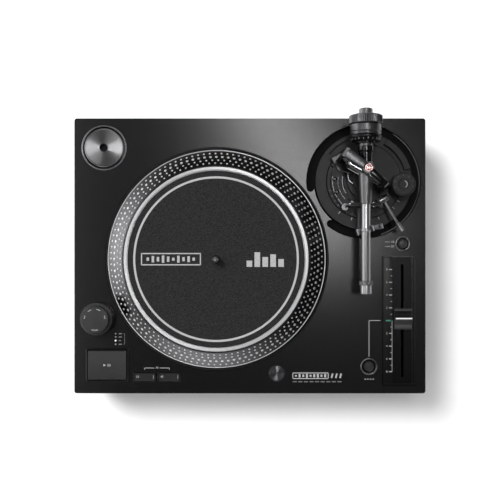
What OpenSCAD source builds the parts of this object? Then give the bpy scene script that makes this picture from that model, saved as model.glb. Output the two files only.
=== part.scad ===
// Compact direct-drive turntable for 7-inch records, with a short straight tonearm.
// Millimetres. +X to the right of the player, +Y to its rear, +Z up, floor at z = 0.

/* [Plinth] */
// Width of the plinth
plinth_w = 346; // [344:1:352]
// Depth of the plinth
plinth_d = 271; // [270:1:276]
// Height of the deck above the floor
deck_z = 76; // [75:1:80]
// Height of the seam between the two casings
seam_z = 50; // [48:1:52]
// Height of the chassis floor above the ground
base_z = 22; // [20:1:24]
// Wall thickness of both casings
wall = 4; // [3:0.5:4]
// Depth of the platter well and the tonearm recess below the deck
pan_depth = 8; // [8:0.5:9]

/* [Platter] */
// Platter axis, left of the plinth's middle
platter_x = -32.5; // [-33:0.5:-32]
// Platter axis, in front of the plinth's middle
platter_y = -3; // [-4:0.5:-2]
// Radius of the platter's rim
platter_r = 106.7; // [105:0.1:107]
// Radius of the slipmat
mat_r = 85; // [80:0.5:85]
// Radius of the record spindle, 7.2 mm across
spindle_r = 3.6; // [3.5:0.05:3.6]

/* [Tonearm] */
// Tonearm base axis, right of the plinth's middle
arm_base_x = 112; // [111:0.5:112]
// Tonearm base axis, behind the plinth's middle
arm_base_y = 73.4; // [73:0.1:74]
// Line of the arm tube, right of the plinth's middle
arm_x = 108.5; // [108:0.1:109]
// Vertical pivot, behind the plinth's middle
pivot_y = 81; // [80.5:0.1:81.5]
// Height of the arm tube above the deck
arm_h = 35; // [34:0.5:37]
// Radius of the arm tube
tube_r = 4.2; // [4:0.1:4.4]
// Radius of the headshell socket's bore
socket_r = 4; // [3.9:0.05:4]
// Angle of the tilt axis across the arm
tilt_angle = -29; // [-31:1:-27]
// Length of the counterweight shaft past the plinth's rear edge
rear_overhang = 2.6; // [1:0.1:4]

/* [Pitch fader] */
// Slot of the pitch fader, right of the plinth's middle
fader_x = 150.3; // [150:0.1:150.6]
// Middle of the pitch slot, in front of the plinth's middle
fader_y = -64.2; // [-65:0.1:-63]
// Length of the slot
slot_len = 111.4; // [110:0.1:112]
// Where the cap rests, behind the slot's middle
fader_rest = 2.4; // [0:0.1:4]

/* [Hidden] */
$fn = 64;
play = 0.05;
gap = 0.3;
thru = 1;
corner_r = 2.5;
pan_z = deck_z - pan_depth;
pan_t = 3;
well_r = 110.3;
recess_r = 56.5;
recess_in = 49;
recess_mid = (recess_r + recess_in) / 2;
recess_end_r = (recess_r - recess_in) / 2;
recess_from = 232;
recess_to = 547;
rim_wall = 3;
arm_z = deck_z + arm_h;
tilt_y = pivot_y - 3;
yoke_angle = -38;
inner_w = plinth_w - 2 * wall;
inner_d = plinth_d - 2 * wall;
adapter_x = -143.8;
adapter_y = 106.6;
knob_x = -150;
knob_y = -61.6;
start_x = -140.6;
start_y = -107.6;
speed_x = -91.6;
speed_y = -119.4;
speed_step = 12.05;
light_x = 26.5;
light_y = -115.7;
reset_x = 117.4;
reset_y = -108.9;
range_x = 150.5;
range_y = 12.2;
panel_x = 146.5;
panel_y = -63.9;
panel_w = 33.5;
panel_d = 127.7;
dial_x = 146.5;
dial_y = 68.5;
foot_x = 138;
foot_y = 104;
foot_r = 22;
screw_at = [[-163, 0], [163, 30], [-8, 125], [60, 125], [-40, -127], [70, -127]];

// ---- Shared shapes ----

// Puts the part's origin under the middle of its whole outline, counterweight shaft included.
module placed() {
  translate([0, -rear_overhang / 2, 0]) children();
}

module at(x, y, z = 0) {
  translate([x, y, z]) children();
}

// A disc or shaft from z to z + h.
module disc(r, z, h) {
  translate([0, 0, z]) cylinder(r = r, h = h);
}

// A ring from z to z + h.
module ring(r_out, r_in, z, h) {
  difference() {
    disc(r_out, z, h);
    disc(r_in, z - thru, h + 2 * thru);
  }
}

// A box centred in X and Y with round vertical corners.
module round_box(w, d, z, h, r) {
  translate([0, 0, z]) linear_extrude(height = h) round_rect(w, d, r);
}

module round_rect(w, d, r) {
  square([w - 2 * r, d], center = true);
  square([w, d - 2 * r], center = true);
  for (sx = [-1, 1], sy = [-1, 1]) {
    translate([sx * (w / 2 - r), sy * (d / 2 - r)]) circle(r = r);
  }
}

// A cylinder along Y, from y to y + len.
module rod_y(r, y, len) {
  translate([0, y, 0]) rotate([-90, 0, 0]) cylinder(r = r, h = len);
}

module tube_y(r_out, r_in, y, len) {
  difference() {
    rod_y(r_out, y, len);
    rod_y(r_in, y - thru, len + 2 * thru);
  }
}

// A ring sector from angle a to angle b.
module sector_ring(r_out, r_in, a, b, z, h) {
  rotate([0, 0, a]) rotate_extrude(angle = b - a) {
    translate([r_in, z]) square([r_out - r_in, h]);
  }
}

// Frames for the three working centres.
module on_platter() {
  placed() at(platter_x, platter_y) children();
}

module on_arm_base() {
  placed() at(arm_base_x, arm_base_y) children();
}

module on_pivot() {
  placed() at(arm_x, pivot_y) children();
}

module on_arm() {
  placed() at(arm_x, 0, arm_z) children();
}

// ---- Plinth ----

function polar(r, a) = [r * cos(a), r * sin(a)];

function arc_points(c, r, from, to, steps) =
  [for (i = [0:steps]) c + polar(r, from + (to - from) * i / steps)];

// The recess round the tonearm base: a broad C, with round ends where the platter comes close.
module recess_shape(z, h) {
  end_a = polar(recess_mid, recess_to);
  end_b = polar(recess_mid, recess_from);
  outline = concat(
    arc_points([0, 0], recess_r, recess_from, recess_to, 72),
    arc_points(end_a, recess_end_r, recess_to + 15, recess_to + 165, 8),
    arc_points([0, 0], recess_in, recess_to + 1, recess_from + 360 - 1, 12),
    arc_points(end_b, recess_end_r, recess_from + 195, recess_from + 345, 8)
  );
  translate([0, 0, z]) linear_extrude(height = h) polygon(outline);
}

module top_casing() {
  color("#1b1b1c") placed() difference() {
    union() {
      difference() {
        round_box(plinth_w, plinth_d, seam_z, deck_z - seam_z, corner_r);
        round_box(inner_w, inner_d, seam_z - thru, deck_z - wall - seam_z + thru, 1);
      }
      at(platter_x, platter_y) disc(well_r + rim_wall, pan_z - pan_t, deck_z - pan_z + pan_t);
      at(arm_base_x, arm_base_y) disc(recess_r + rim_wall, pan_z - pan_t, deck_z - pan_z + pan_t);
      for (p = screw_at) {
        at(p[0], p[1]) disc(4, seam_z, deck_z - wall - seam_z + 1);
      }
    }
    at(platter_x, platter_y) disc(well_r, pan_z, pan_depth + thru);
    at(platter_x, platter_y) disc(14, pan_z - pan_t - thru, pan_t + 2 * thru);
    at(arm_base_x, arm_base_y) recess_shape(pan_z, pan_depth + thru);
    at(arm_base_x, arm_base_y) disc(20, pan_z - pan_t - thru, pan_t + 2 * thru);
    at(adapter_x, adapter_y) disc(22.3, deck_z - 10, 12);
    at(knob_x, knob_y) disc(9, deck_z - 10, 12);
    at(start_x, start_y) round_box(43.6, 33.5, deck_z - 10, 12, 1);
    at(speed_x, speed_y) round_box(47.3, 9.9, deck_z - 10, 12, 0.5);
    at(light_x, light_y) disc(8.4, deck_z - 10, 12);
    at(reset_x, reset_y) disc(8.5, deck_z - 10, 12);
    at(range_x, range_y) disc(7.5, deck_z - 10, 12);
    at(panel_x, panel_y) round_box(panel_w, panel_d, deck_z - 10, 12, 0.6);
    led_shapes(deck_z - 10, 12);
    for (p = screw_at) {
      at(p[0], p[1]) disc(1.5, seam_z - thru, 12);
    }
  }
}

module bottom_chassis() {
  color("#141414") placed() difference() {
    union() {
      difference() {
        union() {
          round_box(plinth_w, plinth_d, base_z, seam_z - base_z - 1.2, corner_r);
          round_box(plinth_w - 1.6, plinth_d - 1.6, base_z, seam_z - base_z, corner_r);
        }
        round_box(inner_w, inner_d, base_z + wall, seam_z, 1);
        rear_opening(30);
      }
      for (sx = [-1, 1], sy = [-1, 1]) {
        at(sx * foot_x, sy * foot_y) disc(9, base_z, 18);
      }
      for (p = screw_at) {
        at(p[0], p[1]) disc(4, base_z, seam_z - base_z);
      }
    }
    for (sx = [-1, 1], sy = [-1, 1]) {
      at(sx * foot_x, sy * foot_y) disc(4 + play, base_z - thru, 20);
    }
    for (p = screw_at) {
      at(p[0], p[1]) {
        disc(1.5, base_z - thru, seam_z);
        disc(3, base_z - thru, 4 + thru);
      }
    }
  }
}

rear_w = 106;
rear_h = 20;
rear_x = -70;
rear_z = base_z + 5;

module rear_opening(depth) {
  at(rear_x - rear_w / 2, plinth_d / 2 - depth, rear_z) cube([rear_w, depth + thru, rear_h]);
}

// A shallow tray let into the rear wall, so that the sockets don't stand out past the plinth.
module rear_panel() {
  tray_y = plinth_d / 2 - 10.5;
  color("#2a2a2c") placed() difference() {
    at(rear_x - rear_w / 2, tray_y, rear_z) cube([rear_w, 10.5, rear_h]);
    at(rear_x - rear_w / 2 + 2, tray_y + 2, rear_z + 2) cube([rear_w - 4, 12, rear_h - 4]);
    at(rear_x + 26, tray_y - thru, rear_z + 3.5) cube([21, 5, 13]);
    for (x = jack_at) {
      at(x, tray_y, rear_z + rear_h / 2) rod_y(3, -thru, 5);
    }
    at(ground_x, tray_y, rear_z + rear_h / 2) rod_y(2, -thru, 5);
  }
}

jack_at = [rear_x - 40, rear_x - 22];
ground_x = rear_x - 4;
jack_y = plinth_d / 2 - 8.5;

module signal_jacks() {
  color("#c9b27a") placed() at(0, jack_y, rear_z + rear_h / 2) {
    for (x = jack_at) {
      at(x, 0) difference() {
        union() {
          rod_y(4.15, 0, 9);
          rod_y(3, -8, 8);
        }
        rod_y(1.7, 1, 9);
      }
    }
    at(ground_x, 0) {
      rod_y(2, -8, 8);
      rod_y(3.4, 0, 1.5);
      rod_y(1.6, 1.5, 2);
      tube_y(4.6, 1.6, 3.5, 4);
      rod_y(1.6, 3.5, 4.5);
    }
  }
}

module mains_inlet() {
  color("#0e0e0e") placed() at(rear_x + 36.5, jack_y, rear_z + rear_h / 2) {
    difference() {
      union() {
        at(-10.5, -12, -6.5) cube([21, 12, 13]);
        at(-12.5, 0, -7.5) cube([25, 2, 15]);
      }
      at(-8, -9, -4.5) cube([16, 14, 9]);
    }
    for (sx = [-1, 1]) {
      at(sx * 4.3, 0) rod_y(1.2, -9, 8.5);
    }
  }
}

module adapter_well() {
  color("#3a3a3c") placed() at(adapter_x, adapter_y) difference() {
    disc(22.3, deck_z - 9, 9.3);
    disc(20.4, deck_z - 7, 10);
  }
}

module strobe_window(r_out, r_in, z, h) {
  toward = atan2(platter_y - knob_y, platter_x - knob_x);
  sector_ring(r_out, r_in, toward - 16, toward + 16, z, h);
}

module strobe_housing() {
  color("#232325") placed() at(knob_x, knob_y) difference() {
    union() {
      disc(15.8, deck_z, 8.5);
      disc(8.95, deck_z - 8, 8);
    }
    strobe_window(16.5, 12, deck_z + 2, 5);
    disc(3.2, deck_z - 10, 20);
  }
}

module strobe_lens() {
  color("#7a1410") placed() at(knob_x, knob_y) strobe_window(15.6, 12, deck_z + 2, 5);
}

module key_bezels() {
  color("#2b2b2d") placed() {
    at(start_x, start_y) difference() {
      round_box(43.6, 33.5, deck_z - 8, 8.3, 1);
      round_box(39.1, 29.3, deck_z - 9, 12, 1);
    }
    at(speed_x, speed_y) difference() {
      round_box(47.3, 9.9, deck_z - 8, 8.3, 0.5);
      for (sx = [-1, 1]) {
        at(sx * speed_step, 0) round_box(21.4, 8.5, deck_z - 9, 12, 0.4);
      }
    }
  }
}

module button_rings() {
  color("#48484a") placed() {
    at(reset_x, reset_y) ring(8.5, 5.4, deck_z - 8, 8.8);
    at(range_x, range_y) ring(7.5, 5.4, deck_z - 8, 8.8);
  }
}

module light_sleeve() {
  color("#2c2c2e") placed() at(light_x, light_y) ring(8.4, 7.3, deck_z - 24, 24.4);
}

module led_shapes(z, h) {
  for (y = [-76.7, -79.9, -83.5, -87.1]) {
    at(-132.3, y) disc(0.8, z, h);
  }
  for (y = [9.3, 13.7]) {
    at(134.7, y, z + h / 2) cube([3.4, 0.9, h], center = true);
  }
}

module status_leds() {
  color("#c8c8c8") placed() led_shapes(deck_z - 5, 5.2);
}

scale_w = 8.9;
scale_x = 136.15 - panel_x;
slot_w = 2.6;

module pitch_panel() {
  color("#262628") placed() at(panel_x, panel_y) difference() {
    round_box(panel_w, panel_d, deck_z - 5, 5.3, 0.6);
    round_box(panel_w - 3, panel_d - 3, deck_z - 0.5, 3, 0.4);
    at(scale_x, 0) round_box(scale_w, panel_d - 4, deck_z - 1.6, 3, 0.3);
    at(fader_x - panel_x, fader_y - panel_y, deck_z) {
      cube([slot_w, slot_len, 20], center = true);
    }
  }
}

module pitch_scale_plate() {
  color("#5c5c5e") placed() at(panel_x + scale_x, panel_y) {
    round_box(scale_w, panel_d - 4, deck_z - 1.6, 1.2, 0.3);
  }
}

module fader_body() {
  color("#8c9096") placed() at(fader_x, fader_y) difference() {
    at(0, 0, deck_z - 12) cube([14, slot_len + 14, 14], center = true);
    at(0, 0, deck_z - 10) cube([4, slot_len + 3, 13], center = true);
  }
}

module stator_board() {
  color("#1f6b3a") on_platter() difference() {
    ring(60, 14, pan_z, 1.6);
    for (a = [0, 120, 240]) {
      rotate([0, 0, a]) at(54, 0) disc(1.6, pan_z - 1, 4);
    }
  }
}

module stator_coils() {
  color("#b8692b") on_platter() for (i = [0:11]) {
    rotate([0, 0, i * 30]) at(41, 0) ring(8, 3.5, pan_z + 1.6, 4);
  }
}

bearing_r = 3;
bush_r = 7;
bearing_low = base_z + 18;

module bearing_housing() {
  color("#a8aaad") on_platter() difference() {
    union() {
      disc(13, bearing_low, pan_z - pan_t - bearing_low + 8);
      disc(28, pan_z - pan_t - 4, 4);
    }
    disc(bush_r, bearing_low + 3, 60);
  }
}

module bearing_bushes() {
  color("#b38b4d") on_platter() {
    disc(bush_r, bearing_low + 3, 1.5);
    ring(bush_r, bearing_r + play, bearing_low + 4.5, 9);
    ring(bush_r, bearing_r + play, pan_z - pan_t - 2, 9);
  }
}

module board_with_switches() {
  switch_top = deck_z - 9.4;
  board_z = 58;
  at(-112, -99) difference() {
    at(0, 0, board_z) linear_extrude(height = 1.6) square([100, 58], center = true);
    at(-36, 35) disc(5, board_z - 1, 4);
  }
  switch_places = [[start_x, start_y], [speed_x - speed_step, speed_y], [speed_x + speed_step, speed_y]];
  for (p = switch_places) {
    at(p[0], p[1]) round_box(6, 6, board_z + 1.6, switch_top - board_z - 1.6, 0.5);
  }
  at(knob_x, knob_y) difference() {
    round_box(14, 14, board_z - 10, 16, 1);
    disc(3.2, board_z - 6, 20);
  }
  for (p = [[reset_x, reset_y], [range_x, range_y]]) {
    at(p[0], p[1]) {
      round_box(14, 14, board_z, 1.6, 0.5);
      round_box(6, 6, board_z + 1.6, switch_top - board_z - 1.6, 0.5);
    }
  }
}

module main_board() {
  color("#1c5a34") placed() board_with_switches();
}

module power_supply() {
  color("#3d5f8a") placed() at(-78, 82) {
    at(0, 0, base_z + wall + 4) linear_extrude(height = 1.6) square([80, 50], center = true);
    for (sx = [-1, 1], sy = [-1, 1]) {
      at(sx * 36, sy * 21) disc(2.5, base_z + wall, 4);
    }
    at(14, 0, base_z + wall + 5.6) linear_extrude(height = 26) square([40, 34], center = true);
    for (y = [-12, 0, 12]) {
      at(-24, y) disc(5, base_z + wall + 5.6, 16);
    }
  }
}

ring_r = 36.4;
sleeve_r = 12;

module arm_base_plate() {
  color("#1e1e20") on_arm_base() difference() {
    union() {
      disc(47.6, pan_z, 10);
      disc(19.9, pan_z - pan_t - 4, 4 + pan_t);
      sector_ring(46.3, 40.4, 15, 62, deck_z + 2, 5);
    }
    ring(ring_r + 0.4, 15, pan_z + 2, 12);
    disc(sleeve_r + play, pan_z - 20, 40);
    sector_ring(43.4, 42.4, 108, 142, deck_z + 1, 3);
  }
}

module casing_screws() {
  color("#9a9a9e") placed() for (p = screw_at) {
    at(p[0], p[1]) {
      disc(1.5, base_z + 3, seam_z - base_z + 8);
      disc(2.9, base_z + 0.6, 2.4);
    }
  }
}

// ---- Feet ----

module foot(x, y) {
  color("#4a4a4c") placed() at(x, y) {
    disc(foot_r - 2, 0, 3);
    disc(foot_r, 3, 10);
    disc(foot_r - 1.5, 13, 3);
    disc(12, 16, 3);
    disc(4, 19, base_z - 19 + 16);
  }
}

module foot_front_left() {
  foot(-foot_x, -foot_y);
}

module foot_front_right() {
  foot(foot_x, -foot_y);
}

module foot_rear_left() {
  foot(-foot_x, foot_y);
}

module foot_rear_right() {
  foot(foot_x, foot_y);
}

// ---- Platter and what turns with it ----

platter_top = deck_z + 16.4;
lip_z = platter_top + 0.8;
lip_in = 85.6;
lip_out = 91;
hub_r = 14;
platter_bore = 5;
rim_low = pan_z + 2;
rim_top = deck_z + 4.4;

module platter() {
  color("#b9b9bb") on_platter() rotate_extrude() polygon([
    [platter_bore, deck_z], [platter_bore, platter_top], [lip_in, platter_top],
    [lip_in, lip_z], [lip_out, lip_z], [platter_r - 0.8, rim_top + 0.8], [platter_r, rim_top],
    [platter_r, rim_low], [platter_r - 3.5, rim_low], [platter_r - 3.5, rim_top - 2],
    [lip_out - 2, platter_top - 4], [hub_r, platter_top - 4], [hub_r, deck_z]
  ]);
}

mat_z = platter_top + 0.1;
mat_t = 1.8;

module spindle() {
  color("#e2e2e4") on_platter() {
    disc(bearing_r, bearing_low + 4.5, deck_z - bearing_low - 4.5);
    disc(platter_bore, deck_z, platter_top - deck_z);
    disc(spindle_r - 0.4, platter_top, mat_z + mat_t - platter_top);
    disc(spindle_r, mat_z + mat_t, 10.8);
    at(0, 0, mat_z + mat_t + 10.8) cylinder(r1 = spindle_r, r2 = 1.8, h = 2.6);
  }
}

module rotor_magnet() {
  color("#55585c") on_platter() ring(50, 32, deck_z, platter_top - 4 - deck_z);
}

module slipmat() {
  color("#202022") on_platter() ring(mat_r, spindle_r + 0.1, mat_z, mat_t);
}

module adapter_45() {
  color("#c4c4c8") placed() at(adapter_x, adapter_y) rotate_extrude() polygon([
    [3.65, deck_z - 6.9], [3.65, deck_z + 1.6], [5, deck_z + 1.6], [17.6, deck_z + 0.6],
    [18.4, deck_z + 1.4], [19.05, deck_z + 0.8], [19.05, deck_z - 6.9]
  ]);
}

// ---- Controls ----

module power_knob() {
  color("#3c3c3e") placed() at(knob_x, knob_y) {
    disc(13.4, deck_z + 8.8, 5.2);
    disc(3.1, deck_z - 17, 26);
  }
}

module start_stop_button() {
  color("#2a2a2c") placed() at(start_x, start_y) {
    round_box(38.3, 28.5, deck_z - 6, 7, 0.8);
    round_box(8, 8, deck_z - 8, 2, 0.8);
  }
}

module speed_button(x) {
  color("#2a2a2c") placed() at(x, speed_y) {
    round_box(20.7, 7.9, deck_z - 6, 6.9, 0.4);
    round_box(5, 5, deck_z - 8, 2, 0.4);
  }
}

module speed_33_button() {
  speed_button(speed_x - speed_step);
}

module speed_45_button() {
  speed_button(speed_x + speed_step);
}

module small_button(x, y) {
  color("#343436") placed() at(x, y) disc(5, deck_z - 8, 9);
}

module reset_button() {
  small_button(reset_x, reset_y);
}

module range_button() {
  small_button(range_x, range_y);
}

module target_light() {
  color("#b4b4b8") placed() at(light_x, light_y) difference() {
    union() {
      disc(7.2, deck_z - 22, 22.8);
      disc(6.2, deck_z - 44, 22);
    }
    at(0, 8, deck_z - 8) cube([5, 10, 5], center = true);
  }
}

cap_w = 17;
cap_d = 20.7;

module pitch_slider() {
  color("#353537") placed() at(fader_x, fader_y + fader_rest) {
    round_box(cap_w, cap_d, deck_z + 1, 4, 0.8);
    round_box(cap_w - 2.4, cap_d - 6, deck_z + 5, 2.6, 0.8);
    round_box(2, 8, deck_z - 12, 13, 0.4);
  }
}

// ---- Tonearm base ----

board_z = deck_z + 4;
board_t = 4;
board_top = board_z + board_t;

module height_ring() {
  color("#2e2e30") on_arm_base() {
    ring(ring_r, 15 + gap, pan_z + 2 + gap, deck_z + 3 - pan_z - 2 - gap);
    sector_ring(ring_r, 31, 256, 268, deck_z + 3, 0.7);
  }
}

lock_at = [-19.8, -25.9];
lever_at = [16.4, -18.8];
lift_at = [6, -24.4];
post_at = [dial_x - arm_base_x, dial_y - arm_base_y];
pivot_at = [arm_x - arm_base_x, pivot_y - arm_base_y];
yoke_reach = 25.2;
yoke_t = 3.5;
yoke_w = 9;
yoke_top = arm_z + 16;

module arm_board() {
  color("#29292b") on_arm_base() difference() {
    union() {
      disc(17, board_z, board_t);
      sector_ring(35.5, 0.5, 118, 156, board_z, board_t);
      sector_ring(33, 22, 150, 236, board_z, board_t);
      at(0, -6, board_z) cube([26, 12, board_t]);
      at(-9, -32, board_z) cube([18, 20, board_t]);
      at(lever_at[0], lever_at[1]) disc(8, board_z, board_t);
      at(post_at[0], post_at[1]) disc(8, board_z, board_t);
      at(post_at[0], post_at[1]) disc(5, board_top, 7);
      at(lift_at[0], lift_at[1]) disc(4.6, board_top, 9);
      disc(sleeve_r, pan_z - 14, board_z - pan_z + 14);
      disc(sleeve_r, board_top, 6);
      at(pivot_at[0], pivot_at[1]) disc(5.5, board_top, arm_z - 14.5 - board_top);
      at(lever_at[0], lever_at[1], board_top) rotate([0, 0, lever_turn]) lever_ears();
    }
    at(post_at[0], post_at[1]) disc(2.5 + play, board_z - thru, 20);
    at(lift_at[0], lift_at[1]) disc(2.5 + play, board_z - thru, 20);
    at(lock_at[0], lock_at[1]) disc(1.5 + play, board_z - thru, 10);
    at(pivot_at[0], pivot_at[1]) disc(2 + play, arm_z - 19, 10);
    for (p = [[-26, 1.5], [-15.5, -19.5]]) {
      at(p[0], p[1]) disc(1.4, board_top - 1.5, 4);
    }
  }
}

// Two ears that carry the cue lever's cross pin.
lever_turn = -61.4;
lever_z = 92 - 84;

module lever_ears() {
  for (sy = [-1, 1]) {
    difference() {
      translate([-3, sy * 5.5 - 1, 0]) cube([6, 2, lever_z + 3]);
      translate([0, 0, lever_z]) rod_y(1.5 + play, -10, 20);
    }
  }
}

module cue_lever() {
  color("#9b9ba0") on_arm_base() at(lever_at[0], lever_at[1], board_top + lever_z) {
    rotate([0, 0, lever_turn]) {
      rod_y(3.2, -4.2, 8.4);
      rod_y(1.5, -6.5, 13);
      rotate([0, -12, 0]) {
        rotate([0, 90, 0]) cylinder(r = 1.2, h = 27);
        translate([27, 0, 0]) rotate([0, 90, 0]) cylinder(r = 2, h = 9);
      }
    }
  }
}

// Raised, the bar stops just short of the arm.
lift_z = arm_z - 9.3;

module lift_platform() {
  color("#3a3a3c") on_arm_base() {
    at(lift_at[0], lift_at[1]) disc(2.5, board_z + 6, lift_z - board_z - 6);
    at(-18.5, lift_at[1] - 1.6, lift_z) cube([32, 3.2, 3.6]);
  }
}

module height_lock() {
  color("#c2c2c6") on_arm_base() at(lock_at[0], lock_at[1]) {
    disc(1.5, board_z, board_t + gap);
    disc(3.4, board_top + gap, 3.5);
    rotate([0, 0, 32]) at(0, -1.2, board_top + gap) cube([7.5, 2.4, 3]);
    rotate([0, 0, 32]) at(7.5, 0) disc(1.7, board_top + gap, 7);
  }
}

module yoke_leg() {
  translate([yoke_reach - yoke_t / 2, -yoke_w / 2, board_top]) {
    cube([yoke_t, yoke_w, yoke_top - board_top - 4]);
  }
}

// A bridge over the gimbal: a wide leg at the rear left, a narrower bar to the front right.
module yoke() {
  color("#6e6e72") on_pivot() difference() {
    rotate([0, 0, yoke_angle]) union() {
      mirror([1, 0, 0]) yoke_leg();
      yoke_leg();
      translate([-yoke_reach - yoke_t / 2, -yoke_w / 2, yoke_top - 4]) {
        cube([yoke_reach + yoke_t / 2, yoke_w, 4]);
      }
      translate([0, -yoke_w / 2 + 1, yoke_top - 4]) {
        cube([yoke_reach + yoke_t / 2, yoke_w - 2, 4]);
      }
      disc(5.6, yoke_top - 4, 4);
    }
    disc(2, yoke_top - 8, 20);
  }
}

module pivot_screw() {
  color("#d8c4c2") on_pivot() {
    disc(2, yoke_top - 6.5, 9);
    ring(3.8, 2, yoke_top, 1.8);
  }
}

rest_y = 24.4;
rest_turn = 15;
prong_x = 6.9;

module arm_rest() {
  color("#8f9094") placed() {
    at(arm_x - 4, rest_y - 3, board_top) cube([8, arm_base_y - 24 - rest_y, 4]);
    at(arm_x - 3, rest_y - 2, board_top + 3) cube([6, 4, arm_z - 12 - board_top - 3]);
    at(arm_x, rest_y) rotate([0, 0, rest_turn]) {
      at(-prong_x - 0.9, -3, arm_z - 13) cube([2 * prong_x + 1.8, 6, 3]);
      at(-prong_x - 0.9, -3, arm_z - 13) cube([1.8, 6, 7.2]);
      at(prong_x - 0.9, -3, arm_z - 13) cube([1.8, 6, 13]);
      at(-3, -3, arm_z - 11) cube([6, 6, 5.2]);
    }
  }
}

clip_open = 100;

// Hinged on the right prong's top and shown folded open; closed, it arches
// over the tube.
module arm_rest_clip() {
  color("#a6a7aa") placed() at(arm_x, rest_y) rotate([0, 0, rest_turn]) {
    at(prong_x, 0, arm_z + 1.6) rotate([0, clip_open, 0]) at(-prong_x, 0, -1.6) {
      difference() {
        tube_y(8.4, 7, -2.2, 4.4);
        at(-20, -10, -20) cube([40, 20, 21.6]);
      }
      difference() {
        at(prong_x, 0, 1.6) rod_y(1.5, -2.2, 4.4);
        at(0, 0, 0) rod_y(6, -10, 20);
      }
    }
  }
}

module anti_skate_dial() {
  color("#3b3b3d") on_arm_base() at(post_at[0], post_at[1]) {
    disc(2.5, board_z + 1, 14);
    disc(9, board_top + 7 + gap, 2);
    difference() {
      disc(11.4, board_top + 9 + gap, 7);
      disc(5, board_top + 15.4 + gap, 3);
    }
  }
}

// ---- Gimbal and tonearm ----

frame_half = 20;
frame_d = 6.4;
post_t = 3;

module on_tilt() {
  placed() at(arm_x, tilt_y, arm_z) rotate([0, 0, tilt_angle]) children();
}

module stadium(half, d, z, h) {
  translate([0, 0, z]) linear_extrude(height = h) {
    square([2 * half - d, d], center = true);
    for (sx = [-1, 1]) {
      translate([sx * (half - d / 2), 0]) circle(r = d / 2);
    }
  }
}

module gimbal_frame() {
  color("#b0b0b4") difference() {
    union() {
      on_tilt() difference() {
        stadium(frame_half, frame_d, -11, 22);
        cube([2 * (frame_half - post_t), 20, 16], center = true);
      }
      on_pivot() disc(4.4, arm_z + 8, 3.4);
      on_pivot() disc(4.4, arm_z - 11.4, 3.4);
      on_pivot() disc(4, arm_z - 14, 3);
      on_pivot() disc(2, arm_z - 18, 5);
    }
    on_pivot() disc(2 + play, arm_z + 9, 8);
    on_tilt() rotate([0, 90, 0]) cylinder(r = 1.8, h = 60, center = true);
  }
}

module tilt_screws() {
  color("#dcdcde") on_tilt() for (sx = [-1, 1]) {
    scale([sx, 1, 1]) rotate([0, 90, 0]) {
      translate([0, 0, frame_half - post_t]) cylinder(r = 1.8, h = post_t + 0.4);
      translate([0, 0, frame_half - post_t - 2.8]) cylinder(r = 1, h = 2.8);
    }
  }
}

housing_back = 85.4;
housing_front = 48.7;
housing_r = 6.5;

module arm_housing() {
  color("#55565a") difference() {
    union() {
      on_arm() rod_y(housing_r, tilt_y - 6, housing_back - tilt_y + 6);
      on_arm() translate([0, housing_front, 0]) rotate([-90, 0, 0]) {
        cylinder(r1 = 5.1, r2 = housing_r, h = tilt_y - 6 - housing_front);
      }
      on_tilt() rotate([0, 90, 0]) {
        cylinder(r = 3, h = 2 * (frame_half - post_t - 0.5), center = true);
      }
    }
    on_arm() rod_y(tube_r, housing_front - thru, 20 + thru);
    on_tilt() rotate([0, 90, 0]) cylinder(r = 1 + play, h = 60, center = true);
  }
}

tube_front = -23.1;

module arm_tube() {
  color("#a2a3a6") on_arm() {
    tube_y(tube_r, tube_r - 0.6, tube_front, housing_front + 20 - tube_front);
    tube_y(5.3, tube_r, rest_y - 1, 2);
  }
}

module headshell_socket() {
  color("#7d7e82") on_arm() difference() {
    union() {
      rod_y(5.3, tube_front - 12.1, 12.1);
      rod_y(tube_r - 0.6, tube_front, 6);
    }
    rod_y(socket_r, tube_front - 13, 10.9);
  }
}

module locking_collar() {
  color("#8c8d90") on_arm() tube_y(6.3, 5.3 + play, tube_front - 4.2, 4.1);
}

shaft_r = 6.4;

module rear_shaft() {
  color("#b2b3b6") on_arm() {
    rod_y(shaft_r, housing_back, plinth_d / 2 + rear_overhang - housing_back);
    tube_y(7.5, shaft_r, 98, 4.4);
  }
}

module weight_core() {
  color("#c0a060") on_arm() tube_y(9, shaft_r + play, 105.4, 25.4);
}

weight_bore = 9 + play;

module counterweight() {
  color("#8e8f93") on_arm() {
    tube_y(11, weight_bore, 106.8, 5.8);
    tube_y(14.7, weight_bore, 112.6, 10);
    tube_y(14.2, weight_bore, 122.6, 0.8);
    tube_y(15.4, weight_bore, 123.4, 8.2);
  }
}

module weight_dial() {
  color("#77787c") on_arm() tube_y(14.9, 11 + play, 106.8, 5.5);
}

// ---- One line for each node ----

top_casing();
bottom_chassis();
rear_panel();
signal_jacks();
mains_inlet();
adapter_well();
strobe_housing();
strobe_lens();
key_bezels();
button_rings();
light_sleeve();
status_leds();
pitch_panel();
pitch_scale_plate();
fader_body();
stator_board();
stator_coils();
bearing_housing();
bearing_bushes();
main_board();
power_supply();
arm_base_plate();
casing_screws();
foot_front_left();
foot_front_right();
foot_rear_left();
foot_rear_right();
platter();
spindle();
rotor_magnet();
slipmat();
adapter_45();
power_knob();
start_stop_button();
speed_33_button();
speed_45_button();
reset_button();
range_button();
target_light();
pitch_slider();
height_ring();
height_lock();
arm_board();
yoke();
pivot_screw();
arm_rest();
gimbal_frame();
tilt_screws();
arm_housing();
arm_tube();
headshell_socket();
rear_shaft();
locking_collar();
weight_core();
counterweight();
weight_dial();
cue_lever();
lift_platform();
anti_skate_dial();
arm_rest_clip();
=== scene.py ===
"""Looks of a compact direct-drive turntable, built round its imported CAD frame. Lengths named *_mm are millimetres."""
import math

import bmesh
import bpy
from mathutils import Matrix, Vector


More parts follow.
